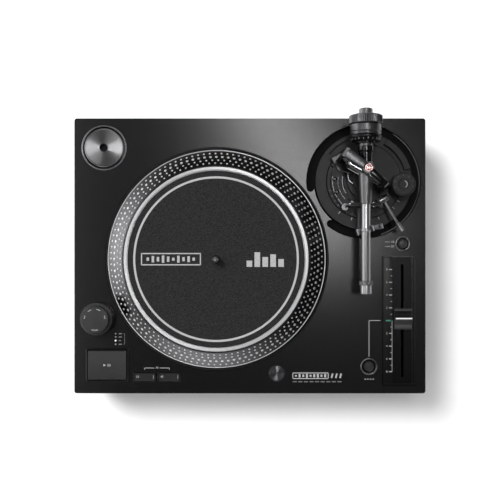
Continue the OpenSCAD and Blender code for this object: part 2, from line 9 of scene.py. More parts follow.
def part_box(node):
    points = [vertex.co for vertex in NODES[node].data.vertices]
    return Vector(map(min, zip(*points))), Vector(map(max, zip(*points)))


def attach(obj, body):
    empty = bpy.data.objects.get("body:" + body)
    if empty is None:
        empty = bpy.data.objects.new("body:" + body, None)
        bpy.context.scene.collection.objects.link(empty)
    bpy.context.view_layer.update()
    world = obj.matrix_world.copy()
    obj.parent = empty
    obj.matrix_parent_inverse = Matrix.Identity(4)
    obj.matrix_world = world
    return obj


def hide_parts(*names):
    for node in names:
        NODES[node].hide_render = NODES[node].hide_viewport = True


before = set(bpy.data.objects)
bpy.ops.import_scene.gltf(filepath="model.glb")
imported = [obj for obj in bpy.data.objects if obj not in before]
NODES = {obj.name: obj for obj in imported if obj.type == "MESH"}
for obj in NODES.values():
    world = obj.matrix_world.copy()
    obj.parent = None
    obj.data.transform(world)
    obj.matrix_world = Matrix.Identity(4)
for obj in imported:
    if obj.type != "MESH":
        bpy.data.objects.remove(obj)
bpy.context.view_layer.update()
MM = 0.001
TAU = 2 * math.pi


# --- places, all from the frame

def box_mid(node):
    low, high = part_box(node)
    return (low + high) / 2


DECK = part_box("top_casing")[1].z
PLINTH = box_mid("top_casing")
PLATTER = box_mid("platter")
ARM = box_mid("arm_tube")
ARM_BASE = box_mid("arm_base_plate")
PIVOT = box_mid("pivot_screw")
BOARD_TOP = DECK + 8 * MM
GIMBAL_DEG = -29.0
YOKE_DEG = -38.0
MAT_RING_MM = 78.5
SMOOTH_DEG = 35.0


def above(point, z):
    return Vector((point.x, point.y, z))


def on_deck(node):
    return above(box_mid(node), DECK)


def top_of(node):
    return above(box_mid(node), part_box(node)[1].z)


def span(node):
    """Where a node starts along Y, in metres, and how long it is there, in millimetres."""
    low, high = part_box(node)
    return low.y, (high.y - low.y) / MM


# --- materials

class Nodes:
    """Short ways to write the shader nodes of one tree."""

    def __init__(self, tree):
        self.tree = tree

    def new(self, kind, **props):
        node = self.tree.nodes.new("ShaderNode" + kind)
        for key, value in props.items():
            setattr(node, key, value)
        return node

    def feed(self, slot, value):
        """Sets a socket to a constant, or links it to another node's output."""
        if isinstance(value, bpy.types.NodeSocket):
            self.tree.links.new(value, slot)
        else:
            slot.default_value = value

    def math(self, operation, *values):
        node = self.new("Math", operation=operation)
        for slot, value in zip(node.inputs, values):
            self.feed(slot, value)
        return node.outputs[0]

    def vector(self, operation, *values):
        node = self.new("VectorMath", operation=operation)
        for slot, value in zip(node.inputs, values):
            self.feed(slot, value)
        return node.outputs["Value" if operation in ("LENGTH", "DOT_PRODUCT") else "Vector"]


class Paint(Nodes):
    """One material and short ways to add the detail that its surface shows."""

    def __init__(self, name, colour, rough=0.5, metal=0.0, **sockets):
        self.mat = bpy.data.materials.new(name)
        self.mat.use_nodes = True
        super().__init__(self.mat.node_tree)
        self.bsdf = self.tree.nodes["Principled BSDF"]
        self.set("Base Color", (*colour, 1.0))
        self.set("Roughness", rough)
        self.set("Metallic", metal)
        for key, value in sockets.items():
            self.set(key.replace("_", " "), value)
        self.colour = colour
        self.rough = rough
        self.place = self.new("TexCoord").outputs["Object"]
        self.normal = None

    def set(self, socket, value):
        self.feed(self.bsdf.inputs[socket], value)

    def noise(self, size_mm, detail=4.0, stretch=(1, 1, 1), rough=0.55):
        """Noise whose grains are about size_mm across."""
        scaled = self.new("Mapping")
        self.feed(scaled.inputs["Scale"], stretch)
        self.feed(scaled.inputs["Vector"], self.place)
        tex = self.new("TexNoise")
        self.feed(tex.inputs["Scale"], 1 / (size_mm * MM))
        self.feed(tex.inputs["Detail"], detail)
        self.feed(tex.inputs["Roughness"], rough)
        self.feed(tex.inputs["Vector"], scaled.outputs[0])
        return tex.outputs["Fac"]

    def cells(self, size_mm):
        tex = self.new("TexVoronoi")
        self.feed(tex.inputs["Scale"], 1 / (size_mm * MM))
        self.feed(tex.inputs["Vector"], self.place)
        return tex.outputs["Distance"]

    def ramp(self, fac, low, high, at=(0.3, 0.7)):
        """Goes from the colour or grey low to high as fac goes from at[0] to at[1]."""
        node = self.new("ValToRGB")
        for stop, value, place in zip(node.color_ramp.elements, (low, high), at):
            stop.color = (value, value, value, 1) if isinstance(value, float) else (*value, 1)
            stop.position = place
        self.feed(node.inputs[0], fac)
        return node.outputs[0]

    def mix(self, fac, a, b):
        """Goes from a to the constant colour b as fac goes from 0 to 1."""
        node = self.new("Mix", data_type="RGBA")
        colour_a, colour_b = [slot for slot in node.inputs if slot.type == "RGBA"]
        self.feed(node.inputs["Factor"], fac)
        self.feed(colour_a, a)
        self.feed(colour_b, (*b, 1))
        return [slot for slot in node.outputs if slot.type == "RGBA"][0]

    def tint(self, fac, amount):
        """Varies the base colour by a share either way as fac varies."""
        low = tuple(c * (1 - amount) for c in self.colour)
        high = tuple(min(1.0, c * (1 + amount)) for c in self.colour)
        self.set("Base Color", self.ramp(fac, low, high))

    def wear(self, fac, amount):
        """Varies the roughness as fac varies."""
        self.set("Roughness", self.ramp(fac, max(0.02, self.rough - amount), min(1.0, self.rough + amount)))

    def bump(self, fac, depth_mm, strength=1.0):
        node = self.new("Bump")
        self.feed(node.inputs["Strength"], strength)
        self.feed(node.inputs["Distance"], depth_mm * MM)
        self.feed(node.inputs["Height"], fac)
        if self.normal is not None:
            self.feed(node.inputs["Normal"], self.normal)
        self.normal = node.outputs[0]
        self.set("Normal", self.normal)

    def radius(self, centre):
        """Distance from a vertical axis, in millimetres."""
        apart = self.vector("SUBTRACT", self.place, centre)
        return self.vector("LENGTH", self.vector("MULTIPLY", apart, (1 / MM, 1 / MM, 0)))

    def rings(self, centre, pitch_mm):
        """Fine turning marks round a vertical axis."""
        wave = self.math("SINE", self.math("MULTIPLY", self.radius(centre), TAU / pitch_mm))
        return self.math("ADD", self.math("MULTIPLY", wave, 0.5), 0.5)


def moulded(name, colour, rough, grain_mm=0.5, depth_mm=0.02):
    """Moulded or spray-painted surface: a fine even texture and a little mottling."""
    paint = Paint(name, colour, rough)
    paint.tint(paint.noise(9.0, 3), 0.12)
    paint.wear(paint.noise(4.0, 3), 0.04)
    paint.bump(paint.noise(grain_mm, 2), depth_mm)
    return paint


def turned(name, colour, rough, stretch, amount=0.08, depth_mm=0.006):
    """Metal with fine machining lines along the two directions that stretch keeps long."""
    paint = Paint(name, colour, rough, metal=1.0)
    lines = paint.noise(0.5, 3, stretch)
    paint.tint(lines, amount)
    paint.wear(lines, 0.06)
    paint.bump(lines, depth_mm)
    return paint


PAINTS = {}


def ring_brushed(name, colour, rough, axis, metal=1.0, amount=0.8, pitch_mm=0.3):
    """Metal turned on a lathe: its grooves spread the highlight outward from the axis."""
    paint = Paint(name, colour, rough, metal)
    paint.set("Anisotropic", amount)
    outward = paint.vector("SUBTRACT", paint.place, (axis.x, axis.y, 0))
    tangent = paint.new("VectorTransform", vector_type="VECTOR", convert_from="OBJECT", convert_to="WORLD")
    paint.feed(tangent.inputs[0], paint.vector("MULTIPLY", outward, (1, 1, 0)))
    paint.set("Tangent", tangent.outputs[0])
    marks = paint.rings(axis, pitch_mm)
    paint.tint(paint.math("MULTIPLY", marks, paint.noise(1.5, 3)), 0.12)
    paint.bump(marks, 0.003, 0.6)
    return paint


# key: (name, colour, roughness, grain size and depth in mm)
MOULDED = {
    "chassis": ("chassis_plastic", (0.007, 0.007, 0.007), 0.55, 0.8, 0.03),
    "plastic": ("black_plastic", (0.0055, 0.0055, 0.0058), 0.52, 0.4, 0.001),
    "gloss": ("gloss_black", (0.004, 0.004, 0.0042), 0.16, 2.0, 0.002),
    # pit is painted shade: a near black, darker than the plastics, for wells, holes and slots
    "pit": ("pit_black", (0.002, 0.002, 0.002), 0.6, 0.5, 0.02),
    "key": ("key_plastic", (0.019, 0.019, 0.0197), 0.42, 0.3, 0.004),
    "knob": ("knob_plastic", (0.022, 0.022, 0.0228), 0.4, 0.3, 0.004),
    "knob_low": ("speed_key_plastic", (0.012, 0.012, 0.0125), 0.36, 0.3, 0.004),
    "rubber": ("foot_rubber", (0.012, 0.012, 0.012), 0.8, 1.2, 0.05),
    "board": ("green_board", (0.015, 0.11, 0.045), 0.3, 2.0, 0.02),
    "tape": ("blue_tape", (0.04, 0.1, 0.26), 0.5, 1.0, 0.03),
    "magnet": ("ferrite", (0.07, 0.07, 0.075), 0.5, 0.6, 0.03),
    "red_plastic": ("red_plastic", (0.45, 0.012, 0.01), 0.4, 0.4, 0.01),
    "white_plastic": ("white_plastic", (0.6, 0.6, 0.58), 0.4, 0.4, 0.01),
}

# key: (name, colour, roughness, stretch, and for some a tint and a groove depth in mm)
TURNED = {
    "steel": ("turned_steel", (0.22, 0.22, 0.23), 0.3, (1, 1, 12)),
    "arm": ("arm_alloy", (0.58, 0.58, 0.59), 0.34, (1, 14, 1), 0.03, 0.0006),
    "housing": ("housing_alloy", (0.24, 0.24, 0.245), 0.42, (1, 8, 1), 0.03, 0.0006),
    "shaft": ("dark_shaft", (0.05, 0.05, 0.052), 0.2, (1, 10, 1)),
    "yoke": ("yoke_alloy", (0.12, 0.12, 0.125), 0.33, (6, 1, 1)),
    "weight": ("weight_nickel", (0.15, 0.15, 0.155), 0.36, (1, 12, 1)),
    "dial": ("dial_black", (0.03, 0.03, 0.031), 0.34, (1, 12, 1)),
    "ring": ("ring_metal", (0.12, 0.12, 0.125), 0.3, (1, 1, 10)),
    "panel": ("panel_metal", (0.022, 0.022, 0.023), 0.36, (10, 1, 1)),
    "scale": ("scale_metal", (0.042, 0.042, 0.042), 0.4, (10, 1, 1)),
    # crest is bright metal on the cue lever, and painted highlight where it bands rims and edges
    "crest": ("crest_metal", (0.3, 0.3, 0.31), 0.28, (1, 1, 10), 0.03, 0.0006),
    "copper": ("enamelled_copper", (0.62, 0.27, 0.1), 0.3, (1, 1, 14)),
    "bronze": ("sintered_bronze", (0.5, 0.36, 0.18), 0.4, (1, 1, 10)),
    "gold": ("gold_plate", (0.86, 0.66, 0.3), 0.18, (1, 10, 1)),
    "rose": ("rose_metal", (0.75, 0.55, 0.53), 0.25, (1, 1, 10)),
}

# key: (name, colour, roughness, noise of its ink or frosting, tint)
SPECKLED = {
    "print": ("pale_print", (0.36, 0.36, 0.36), 0.6, (0.4, 2), 0.15),
    "dim_print": ("dim_print", (0.13, 0.13, 0.13), 0.6, (0.4, 2), 0.15),
    "white_print": ("white_print", (0.72, 0.72, 0.72), 0.55, (0.4, 2), 0.1),
    "mat_print": ("mat_print", (0.34, 0.34, 0.34), 0.9, (0.6, 4, (1, 1, 1), 0.8), 0.4),
    # led_on is the frosted lens's pale colour raised further as painted glow of a lit lamp; led_dim is the same lens
    # unlit
    "led_on": ("led_frost_and_glow", (0.75, 0.75, 0.72), 0.35, (0.3, 2), 0.1),
    "led_dim": ("led_dim", (0.2, 0.2, 0.2), 0.35, (0.3, 2), 0.1),
    "green": ("green_mark", (0.022, 0.17, 0.10), 0.5, (0.3, 2), 0.12),
}


def make_paints():
    P = PAINTS
    for key, recipe in MOULDED.items():
        P[key] = moulded(*recipe)
    for key, recipe in TURNED.items():
        P[key] = turned(*recipe)
    for key, (name, colour, rough, speckle, share) in SPECKLED.items():
        P[key] = Paint(name, colour, rough)
        P[key].tint(P[key].noise(*speckle), share)
    P["chrome"] = Paint("chrome", (0.5, 0.5, 0.51), 0.2, 1.0)
    P["chrome"].wear(P["chrome"].noise(3.0, 4), 0.03)
    P["band"] = Paint("band_alloy", (0.135, 0.135, 0.138), 0.2, 1.0)
    P["band"].wear(P["band"].noise(4.0, 3), 0.04)
    P["band"].bump(P["band"].rings(PLATTER, 0.25), 0.002, 0.5)
    P["satin_alloy"] = Paint("satin_alloy", (0.5, 0.5, 0.51), 0.32, 1.0)
    P["satin_alloy"].bump(P["satin_alloy"].rings(PLATTER, 0.3), 0.006)
    P["satin_alloy"].tint(P["satin_alloy"].noise(2.0, 3), 0.08)
    P["dot"] = Paint("dot_alloy", (0.92, 0.92, 0.93), 0.3, 0.8)
    P["dot"].wear(P["dot"].noise(0.6, 2), 0.05)
    P["lens"] = Paint("red_lens", (0.35, 0.012, 0.01), 0.15, Transmission_Weight=0.6, IOR=1.49)
    P["lens"].bump(P["lens"].noise(1.0, 1, (1, 1, 0.01)), 0.03)
    P["lip"] = ring_brushed("lip", (0.78, 0.78, 0.79), 0.4, PLATTER, 0.7)
    for key, node, albedo in (("spun_adapter", "adapter_45", (0.5, 0.5, 0.51)),
                              ("spun_light", "target_light", (0.24, 0.24, 0.25))):
        P[key] = ring_brushed(key, albedo, 0.36, box_mid(node), 1.0, 1.0, 0.35)
    P["casing"] = casing_paint()
    P["felt"] = felt_paint()


def casing_paint():
    """Fine powder paint on the deck; the wells below it are matte and painted near black, as painted shade."""
    paint = Paint("casing_paint", (0.004, 0.004, 0.0042), 0.23)
    mottle = paint.noise(7.0, 3)
    place = paint.new("SeparateXYZ")
    paint.feed(place.inputs[0], paint.place)
    below = paint.math("LESS_THAN", place.outputs["Z"], DECK - 1.2 * MM)
    well_shade = paint.math("MULTIPLY", below, paint.math("GREATER_THAN", place.outputs["Z"], DECK - 9.5 * MM))
    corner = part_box("top_casing")[1] - PLINTH
    for side, middle, half in (("X", PLINTH.x, corner.x), ("Y", PLINTH.y, corner.y)):
        off = paint.math("ABSOLUTE", paint.math("SUBTRACT", place.outputs[side], middle))
        well_shade = paint.math("MULTIPLY", well_shade, paint.math("LESS_THAN", off, half - 2.5 * MM))
    upper = paint.ramp(mottle, (0.0036, 0.0036, 0.0037), (0.0046, 0.0046, 0.0047))
    # the wells take a near-black colour: painted shade in the recesses below the deck
    paint.set("Base Color", paint.mix(well_shade, upper, (0.0015, 0.0015, 0.0015)))
    paint.set("Roughness", paint.math("ADD", paint.math("MULTIPLY", well_shade, 0.7), paint.ramp(mottle, 0.225, 0.24)))
    paint.bump(paint.noise(0.35, 2), 0.0012)
    return paint


def felt_paint():
    """Slipmat felt: matted fibres, and one printed ring worn into them."""
    felt = Paint("mat_felt", (0.016, 0.016, 0.017), 0.95, Sheen_Weight=0.04, Sheen_Roughness=0.6,
                 Specular_IOR_Level=0.1)
    fibres = felt.noise(1.1, 6, rough=0.8)
    base = felt.ramp(fibres, (0.007, 0.007, 0.0072), (0.033, 0.033, 0.034), (0.38, 0.66))
    off_line = felt.math("ABSOLUTE", felt.math("SUBTRACT", felt.radius(PLATTER), MAT_RING_MM))
    worn = felt.math("MULTIPLY", felt.math("LESS_THAN", off_line, 1.0), felt.ramp(fibres, 0.7, 1.0))
    felt.set("Base Color", felt.mix(worn, base, (0.42, 0.42, 0.42)))
    felt.bump(fibres, 0.12)
    felt.bump(felt.cells(0.9), 0.05)
    return felt


# --- mesh shapes

def add_piece(name, bm, materials, body, slot, smooth_deg, node):
    """Turns a bmesh into a piece that rides on a body, and that stands for a CAD node if one is named."""
    mesh = bpy.data.meshes.new(name)
    bm.to_mesh(mesh)
    bm.free()
    for material in materials:
        mesh.materials.append(material)
    mesh.shade_smooth()
    mesh.set_sharp_from_angle(angle=math.radians(smooth_deg))
    obj = bpy.data.objects.new(name, mesh)
    bpy.context.collection.objects.link(obj)
    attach(obj, body)
    if node:
        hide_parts(node)
    return obj


def finish_mesh(name, bm, paint, body, slot, smooth_deg=SMOOTH_DEG, node=None):
    """Adds a bmesh as a piece, with one paint or a list of them."""
    bmesh.ops.recalc_face_normals(bm, faces=bm.faces)
    paints = paint if isinstance(paint, list) else [paint]
    return add_piece(name, bm, [PAINTS[one].mat for one in paints], body, slot, smooth_deg, node)


def soften(points, size, steps=3, closed=True):
    """Rounds each corner of an outline of (a, b) points."""
    out, n = [], len(points)
    for i, p in enumerate(points):
        here = Vector(p)
        if not closed and i in (0, n - 1):
            out.append(tuple(here))
            continue
        before, after = Vector(points[i - 1]), Vector(points[(i + 1) % n])
        a, b = before - here, after - here
        reach = min(size, a.length * 0.45, b.length * 0.45)
        if reach < 1e-6 or abs(a.normalized().dot(b.normalized())) > 0.996:
            out.append(tuple(here))
            continue
        start, end = here + a.normalized() * reach, here + b.normalized() * reach
        for k in range(steps + 1):
            t = k / steps
            out.append(tuple(start * (1 - t) ** 2 + here * 2 * t * (1 - t) + end * t ** 2))
    return out


def place_ring(bm, centre, axis, radius, along, seg, wave=None):
    verts = []
    for k in range(seg):
        turn = TAU * k / seg
        r = radius + (wave(turn, along) if wave else 0.0)
        a, b = r * math.cos(turn) * MM, r * math.sin(turn) * MM
        h = along * MM
        if axis == "Z":
            verts.append(bm.verts.new(centre + Vector((a, b, h))))
        else:
            verts.append(bm.verts.new(centre + Vector((a, h, b))))
    return verts


def lathe(name, profile, centre, paint, body, slot, axis="Z", seg=128, round_mm=0.3, closed=True, wave=None,
          choose=None, node=None):
    """A turned piece. profile is (radius, height) points in mm, seen from centre; closed joins its ends."""
    bm = bmesh.new()
    points = soften(profile, round_mm, closed=closed) if round_mm else list(profile)
    rings = []
    for r, h in points:
        if r < 1e-4:
            spot = Vector((0, 0, h * MM)) if axis == "Z" else Vector((0, h * MM, 0))
            rings.append([bm.verts.new(centre + spot)])
        else:
            rings.append(place_ring(bm, centre, axis, r, h, seg, wave))
    pairs = list(zip(rings, rings[1:]))
    if closed:
        pairs.append((rings[-1], rings[0]))
    for low, high in pairs:
        if len(low) == 1 and len(high) == 1:
            continue
        for k in range(seg):
            j = (k + 1) % seg
            if len(low) == 1:
                bm.faces.new((low[0], high[j], high[k]))
            elif len(high) == 1:
                bm.faces.new((low[k], low[j], high[0]))
            else:
                bm.faces.new((low[k], low[j], high[j], high[k]))
    if choose:
        for face in bm.faces:
            spot = face.calc_center_median() - centre
            along = spot.z if axis == "Z" else spot.y
            across = math.hypot(spot.x, spot.y) if axis == "Z" else math.hypot(spot.x, spot.z)
            face.material_index = choose(across / MM, along / MM)
    return finish_mesh(name, bm, paint, body, slot, node=node)


def keep_node(node, paint, bevel_mm):
    """Keeps a CAD node, gives it its material, and rounds its sharp edges a little."""
    obj = NODES[node]
    obj.data.materials.clear()
    obj.data.materials.append(PAINTS[paint].mat)
    weld = obj.modifiers.new("weld", "WELD")
    weld.merge_threshold = 0.02 * MM
    flat = obj.modifiers.new("flat", "DECIMATE")
    flat.decimate_type = "DISSOLVE"
    flat.angle_limit = math.radians(0.6)
    if bevel_mm:
        bevel = obj.modifiers.new("bevel", "BEVEL")
        bevel.width = bevel_mm * MM
        bevel.segments = 3
        bevel.limit_method = "ANGLE"
        bevel.angle_limit = math.radians(SMOOTH_DEG)
        bevel.harden_normals = False


# --- prints and small shapes

class Print:
    """Thin printed marks, and thin lines of painted highlight, all in one piece. Places are millimetres from an origin.
    """

    def __init__(self, name, origin, paint, body="plinth", slot="casing_paint"):
        self.name, self.origin, self.paint, self.body, self.slot = name, origin, paint, body, slot
        self.bm = bmesh.new()

    def prism(self, corners, low=-0.02, high=0.035):
        rings = []
        for z in (low, high):
            rings.append([self.bm.verts.new(self.origin + Vector((x, y, z)) * MM) for x, y in corners])
            self.bm.faces.new(rings[-1])
        skin(self.bm, [rings])

    def line(self, a, b, width):
        a, b = Vector(a), Vector(b)
        side = (b - a).normalized().orthogonal() * width / 2
        self.prism([tuple(a + side), tuple(a - side), tuple(b - side), tuple(b + side)])

    def arc(self, r, start, end, width, steps=24):
        for k in range(steps):
            a0, a1 = (math.radians(start + (end - start) * i / steps) for i in (k, k + 1))
            spots = []
            for radius, turn in ((r - width / 2, a0), (r + width / 2, a0), (r + width / 2, a1), (r - width / 2, a1)):
                spots.append((radius * math.cos(turn), radius * math.sin(turn)))
            self.prism(spots)

    def spoke(self, turn_deg, r0, r1, width):
        turn = math.radians(turn_deg)
        way = Vector((math.cos(turn), math.sin(turn)))
        self.line(way * r0, way * r1, width)

    def digits(self, text, x, y, size, turn_deg=0.0):
        """Plain numerals, centred on a place."""
        curve = bpy.data.curves.new("digits", "FONT")
        curve.body = text
        curve.size = size * 1.35 * MM
        curve.align_x, curve.align_y = "CENTER", "CENTER"
        curve.extrude = 0.028 * MM
        curve.resolution_u = 3
        holder = bpy.data.objects.new("digits", curve)
        mesh = bpy.data.meshes.new_from_object(holder)
        spot = self.origin + Vector((x, y, 0.008)) * MM
        mesh.transform(Matrix.Translation(spot) @ Matrix.Rotation(math.radians(turn_deg), 4, "Z"))
        self.bm.from_mesh(mesh)
        bpy.data.meshes.remove(mesh)
        bpy.data.objects.remove(holder)
        bpy.data.curves.remove(curve)

    def done(self):
        bmesh.ops.remove_doubles(self.bm, verts=self.bm.verts, dist=1e-7)
        return finish_mesh(self.name, self.bm, self.paint, self.body, self.slot, 30)


def round_outline(w, d, r, steps=5):
    """Corner points of a rectangle with round corners, centred on the origin."""
    points = []
    for k, (sx, sy) in enumerate(((1, 1), (-1, 1), (-1, -1), (1, -1))):
        for i in range(steps + 1):
            turn = TAU / 4 * (k + i / steps)
            points.append((sx * (w / 2 - r) + r * math.cos(turn), sy * (d / 2 - r) + r * math.sin(turn)))
    return points


def skin(bm, pairs):
    """Quads between each pair of rings of vertices, as one list of faces for each pair."""
    strips = []
    for low, high in pairs:
        n = len(low)
        strips.append([bm.faces.new((low[k], low[(k + 1) % n], high[(k + 1) % n], high[k])) for k in range(n)])
    return strips


def rolled(w, d, r, high, edge, way=1, tighten=0):
    """Layers that roll the top edge of a rectangle over: way is 1 to lean inward and -1 outward."""
    layers = []
    for k in range(4):
        turn = TAU / 4 * k / 3
        inset = edge * (1 - math.cos(turn))
        outline = round_outline(w - 2 * way * inset, d - 2 * way * inset, max(0.05, r - tighten * inset))
        layers.append((outline, high - edge + edge * math.sin(turn)))
    return layers


def loft(name, layers, origin, paint, body, slot, capped=True, turn_deg=0.0, node=None):
    """A closed shape through layers of (outline, height), all with the same number of points."""
    bm = bmesh.new()
    spin = Matrix.Rotation(math.radians(turn_deg), 3, "Z")
    rings = [[bm.verts.new(origin + spin @ (Vector((x, y, z)) * MM)) for x, y in outline] for outline, z in layers]
    skin(bm, zip(rings, rings[1:]))
    if capped:
        bm.faces.new(rings[0])
        bm.faces.new(rings[-1])
    else:
        skin(bm, [(rings[0], rings[-1])])
    return finish_mesh(name, bm, paint, body, slot, node=node)


def block(name, w, d, low, high, origin, paint, body, slot, r=0.8, edge=0.4, turn_deg=0.0, node=None):
    """A rounded block whose top edge is rolled over."""
    layers = [(round_outline(w, d, r), low)] + rolled(w, d, r, high, edge, tighten=1)
    return loft(name, layers, origin, paint, body, slot, turn_deg=turn_deg, node=node)


def frame_ring(name, outer, inner, low, high, origin, paint, body, slot, edge=0.5, r_out=1.0, r_in=1.0):
    """A rectangular bezel: flat top, with both top edges rolled over."""
    layers = [(round_outline(*outer, r_out), low)] + rolled(*outer, r_out, high, edge)
    layers += rolled(*inner, r_in, high, edge, way=-1)[::-1] + [(round_outline(*inner, r_in), low)]
    return loft(name, layers, origin, paint, body, slot, capped=False)


def join(name, parts, body, slot, node=None):
    """Joins finished meshes into one piece."""
    bm = bmesh.new()
    materials = []
    for part in parts:
        first_face, first_material = len(bm.faces), len(materials)
        materials += list(part.data.materials)
        bm.from_mesh(part.data)
        bm.faces.ensure_lookup_table()
        for face in bm.faces[first_face:]:
            face.material_index += first_material
        bpy.data.objects.remove(part)
    return add_piece(name, bm, materials, body, slot, SMOOTH_DEG, node)


def ridges(count, depth, low, high):
    """A wave for lathe(): straight ridges round the piece between two heights."""
    def wave(turn, along):
        return depth * math.cos(turn * count) if low < along < high else 0.0
    return wave


# --- kept CAD nodes

# node: (paint, width of its rounded edges in mm)
KEPT = {
    "top_casing": ("casing", 0.5), "bottom_chassis": ("chassis", 0.5), "rear_panel": ("plastic", 0.3),
    "signal_jacks": ("gold", 0.15), "mains_inlet": ("plastic", 0.3), "strobe_lens": ("lens", 0.2),
    # fader_body takes the pit paint: painted shade in the fader slot
    "pitch_scale_plate": ("scale", 0.1), "fader_body": ("pit", 0.3), "stator_board": ("board", 0),
    "stator_coils": ("copper", 0.8), "bearing_housing": ("steel", 0.3), "bearing_bushes": ("bronze", 0),
    "main_board": ("board", 0), "power_supply": ("tape", 0.4), "arm_base_plate": ("plastic", 0.4),
    "casing_screws": ("steel", 0.2), "rotor_magnet": ("magnet", 0.3), "status_leds": ("led_dim", 0.1),
    "height_ring": ("plastic", 0.3), "arm_board": ("plastic", 0.4), "arm_rest": ("housing", 0.3),
    "tilt_screws": ("steel", 0.1), "weight_core": ("dial", 0.2), "strobe_housing": ("knob", 0.5),
    "light_sleeve": ("plastic", 0.2), "spindle": ("steel", 0.3), "slipmat": ("felt", 0.4),
    "pitch_panel": ("panel", 0.3), "cue_lever": ("crest", 0.15), "height_lock": ("shaft", 0.3),
    "arm_rest_clip": ("housing", 0.25),
}


def dress_nodes():
    for node, (paint, bevel_mm) in KEPT.items():
        keep_node(node, paint, bevel_mm)


# --- plinth

def build_plinth():
    for node in ("foot_front_left", "foot_front_right", "foot_rear_left", "foot_rear_right"):
        low = above(box_mid(node), 0)
        profile = [(0, 0.6), (14, 0.6), (15, 0), (20, 0), (20, 3), (22, 3.6), (22, 12.4), (20.5, 13.4), (20.5, 16),
                   (12, 16), (12, 19), (4, 19), (4, 38), (0, 38)]
        lathe(node + "_body", profile, low, "rubber", node, "foot_rubber", seg=160, closed=False,
              wave=ridges(40, 0.18, 4, 12), round_mm=0.5, node=node)
    panel_x, jack_y, jack_z = box_mid("rear_panel").x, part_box("signal_jacks")[0].y, box_mid("signal_jacks").z
    for name, offset, paint in (("jack_ring_left", -40, "white_plastic"), ("jack_ring_right", -22, "red_plastic")):
        centre = Vector((panel_x + offset * MM, jack_y + 8 * MM, jack_z))
        lathe(name, [(4.25, 0.1), (6.2, 0.1), (6.2, 1.4), (5.4, 2.0), (4.25, 2.0)], centre, paint, "plinth",
              "black_plastic", axis="Y", seg=48)
    build_adapter()
    trim_and_highlight = [(108.7, -3.0), (108.7, -0.9), (109.0, -0.6), (109.8, -0.6), (110.1, -0.9), (110.1, -3.0)]
    lathe("platter_well_trim", trim_and_highlight, above(PLATTER, DECK), "plastic", "plinth", "casing_paint", seg=256, round_mm=0.1)
    marks = Print("deck_marks", above(PLINTH, DECK), "dim_print")
    for k in range(9):
        marks.line((42.3 + k * 5.5, -124.0), (46.2 + k * 5.5, -124.0), 1.0)
    marks.done()
    badge = Print("deck_badge", above(PLINTH, DECK), "print")
    for y in (-115.4, -120.9):
        badge.line((42.3, y), (77.2, y), 0.8)
    for x in (42.3, 77.2):
        badge.line((x, -115.8), (x, -120.5), 0.8)
    for k, tall in enumerate((1.6, 3.4, 2.4, 3.8, 2.0, 3.0, 3.6, 2.2, 3.2)):
        badge.line((45.4 + k * 3.6, -118.15 - tall / 2), (45.4 + k * 3.6, -118.15 + tall / 2), 1.9)
    for k in range(3):
        badge.line((80.4 + k * 4.2, -120.4), (81.6 + k * 4.2, -116.0), 1.5)
    badge.done()


def build_adapter():
    """The adapter for large centre holes, a spun disc in its own cup."""
    spot = on_deck("adapter_45")
    cup = [(0, -7), (20.4, -7), (20.4, -0.5), (20.9, 0.2), (21.2, 0.3), (22.0, 0.3), (22.3, 0.1), (22.3, -9), (0, -9)]
    # the cup's rim takes the crest paint, a painted highlight, and its inside the pit paint, painted shade
    lathe("adapter_cup", cup, spot, ["crest", "pit"], "plinth", "well_metal", closed=False, round_mm=0.1,
          choose=lambda r, along: 0 if r > 20.3 and along > -0.8 else 1, node="adapter_well")
    disc = [(3.65, -6.9), (3.65, 1.2), (3.95, 1.6), (5.0, 1.6), (5.4, 1.45), (17.4, 0.62), (17.8, 0.7), (18.3, 1.35),
            (18.5, 1.4), (19.0, 0.9), (19.05, 0.6), (19.05, -6.9)]
    # the disc's centre hole takes the pit paint: painted shade
    lathe("adapter_disc", disc, spot, ["spun_adapter", "pit"], "adapter", "turned_alloy", seg=160, round_mm=0.1,
          choose=lambda r, along: 1 if r < 4.3 else 0, node="adapter_45")


# --- controls

def build_controls():
    build_knob()
    build_keys()
    build_small_buttons()
    build_fader()
    build_target_light()
    build_leds()


def build_knob():
    top = top_of("power_knob")
    profile = [(0, 0), (11.9, 0), (12.2, -0.25), (12.5, 0), (12.9, -0.1), (13.4, -0.7), (13.4, -5.2), (3.1, -5.2),
               (3.1, -31.0), (0, -31.0)]
    lathe("power_knob_body", profile, top, "knob", "power_knob", "knob_dark", seg=192, closed=False, round_mm=0.15,
          wave=ridges(64, 0.1, -4.8, -1.0), node="power_knob")
    marks = Print("power_knob_marks", top, "print", "power_knob", "knob_dark")
    for start in (58, 108):
        marks.arc(10.2, start, start + 22, 0.5, 8)
    for start, count in ((160, 3), (8, 3), (255, 6)):
        for k in range(count):
            marks.spoke(start + k * 6, 9.6, 10.7, 0.55)
    marks.done()


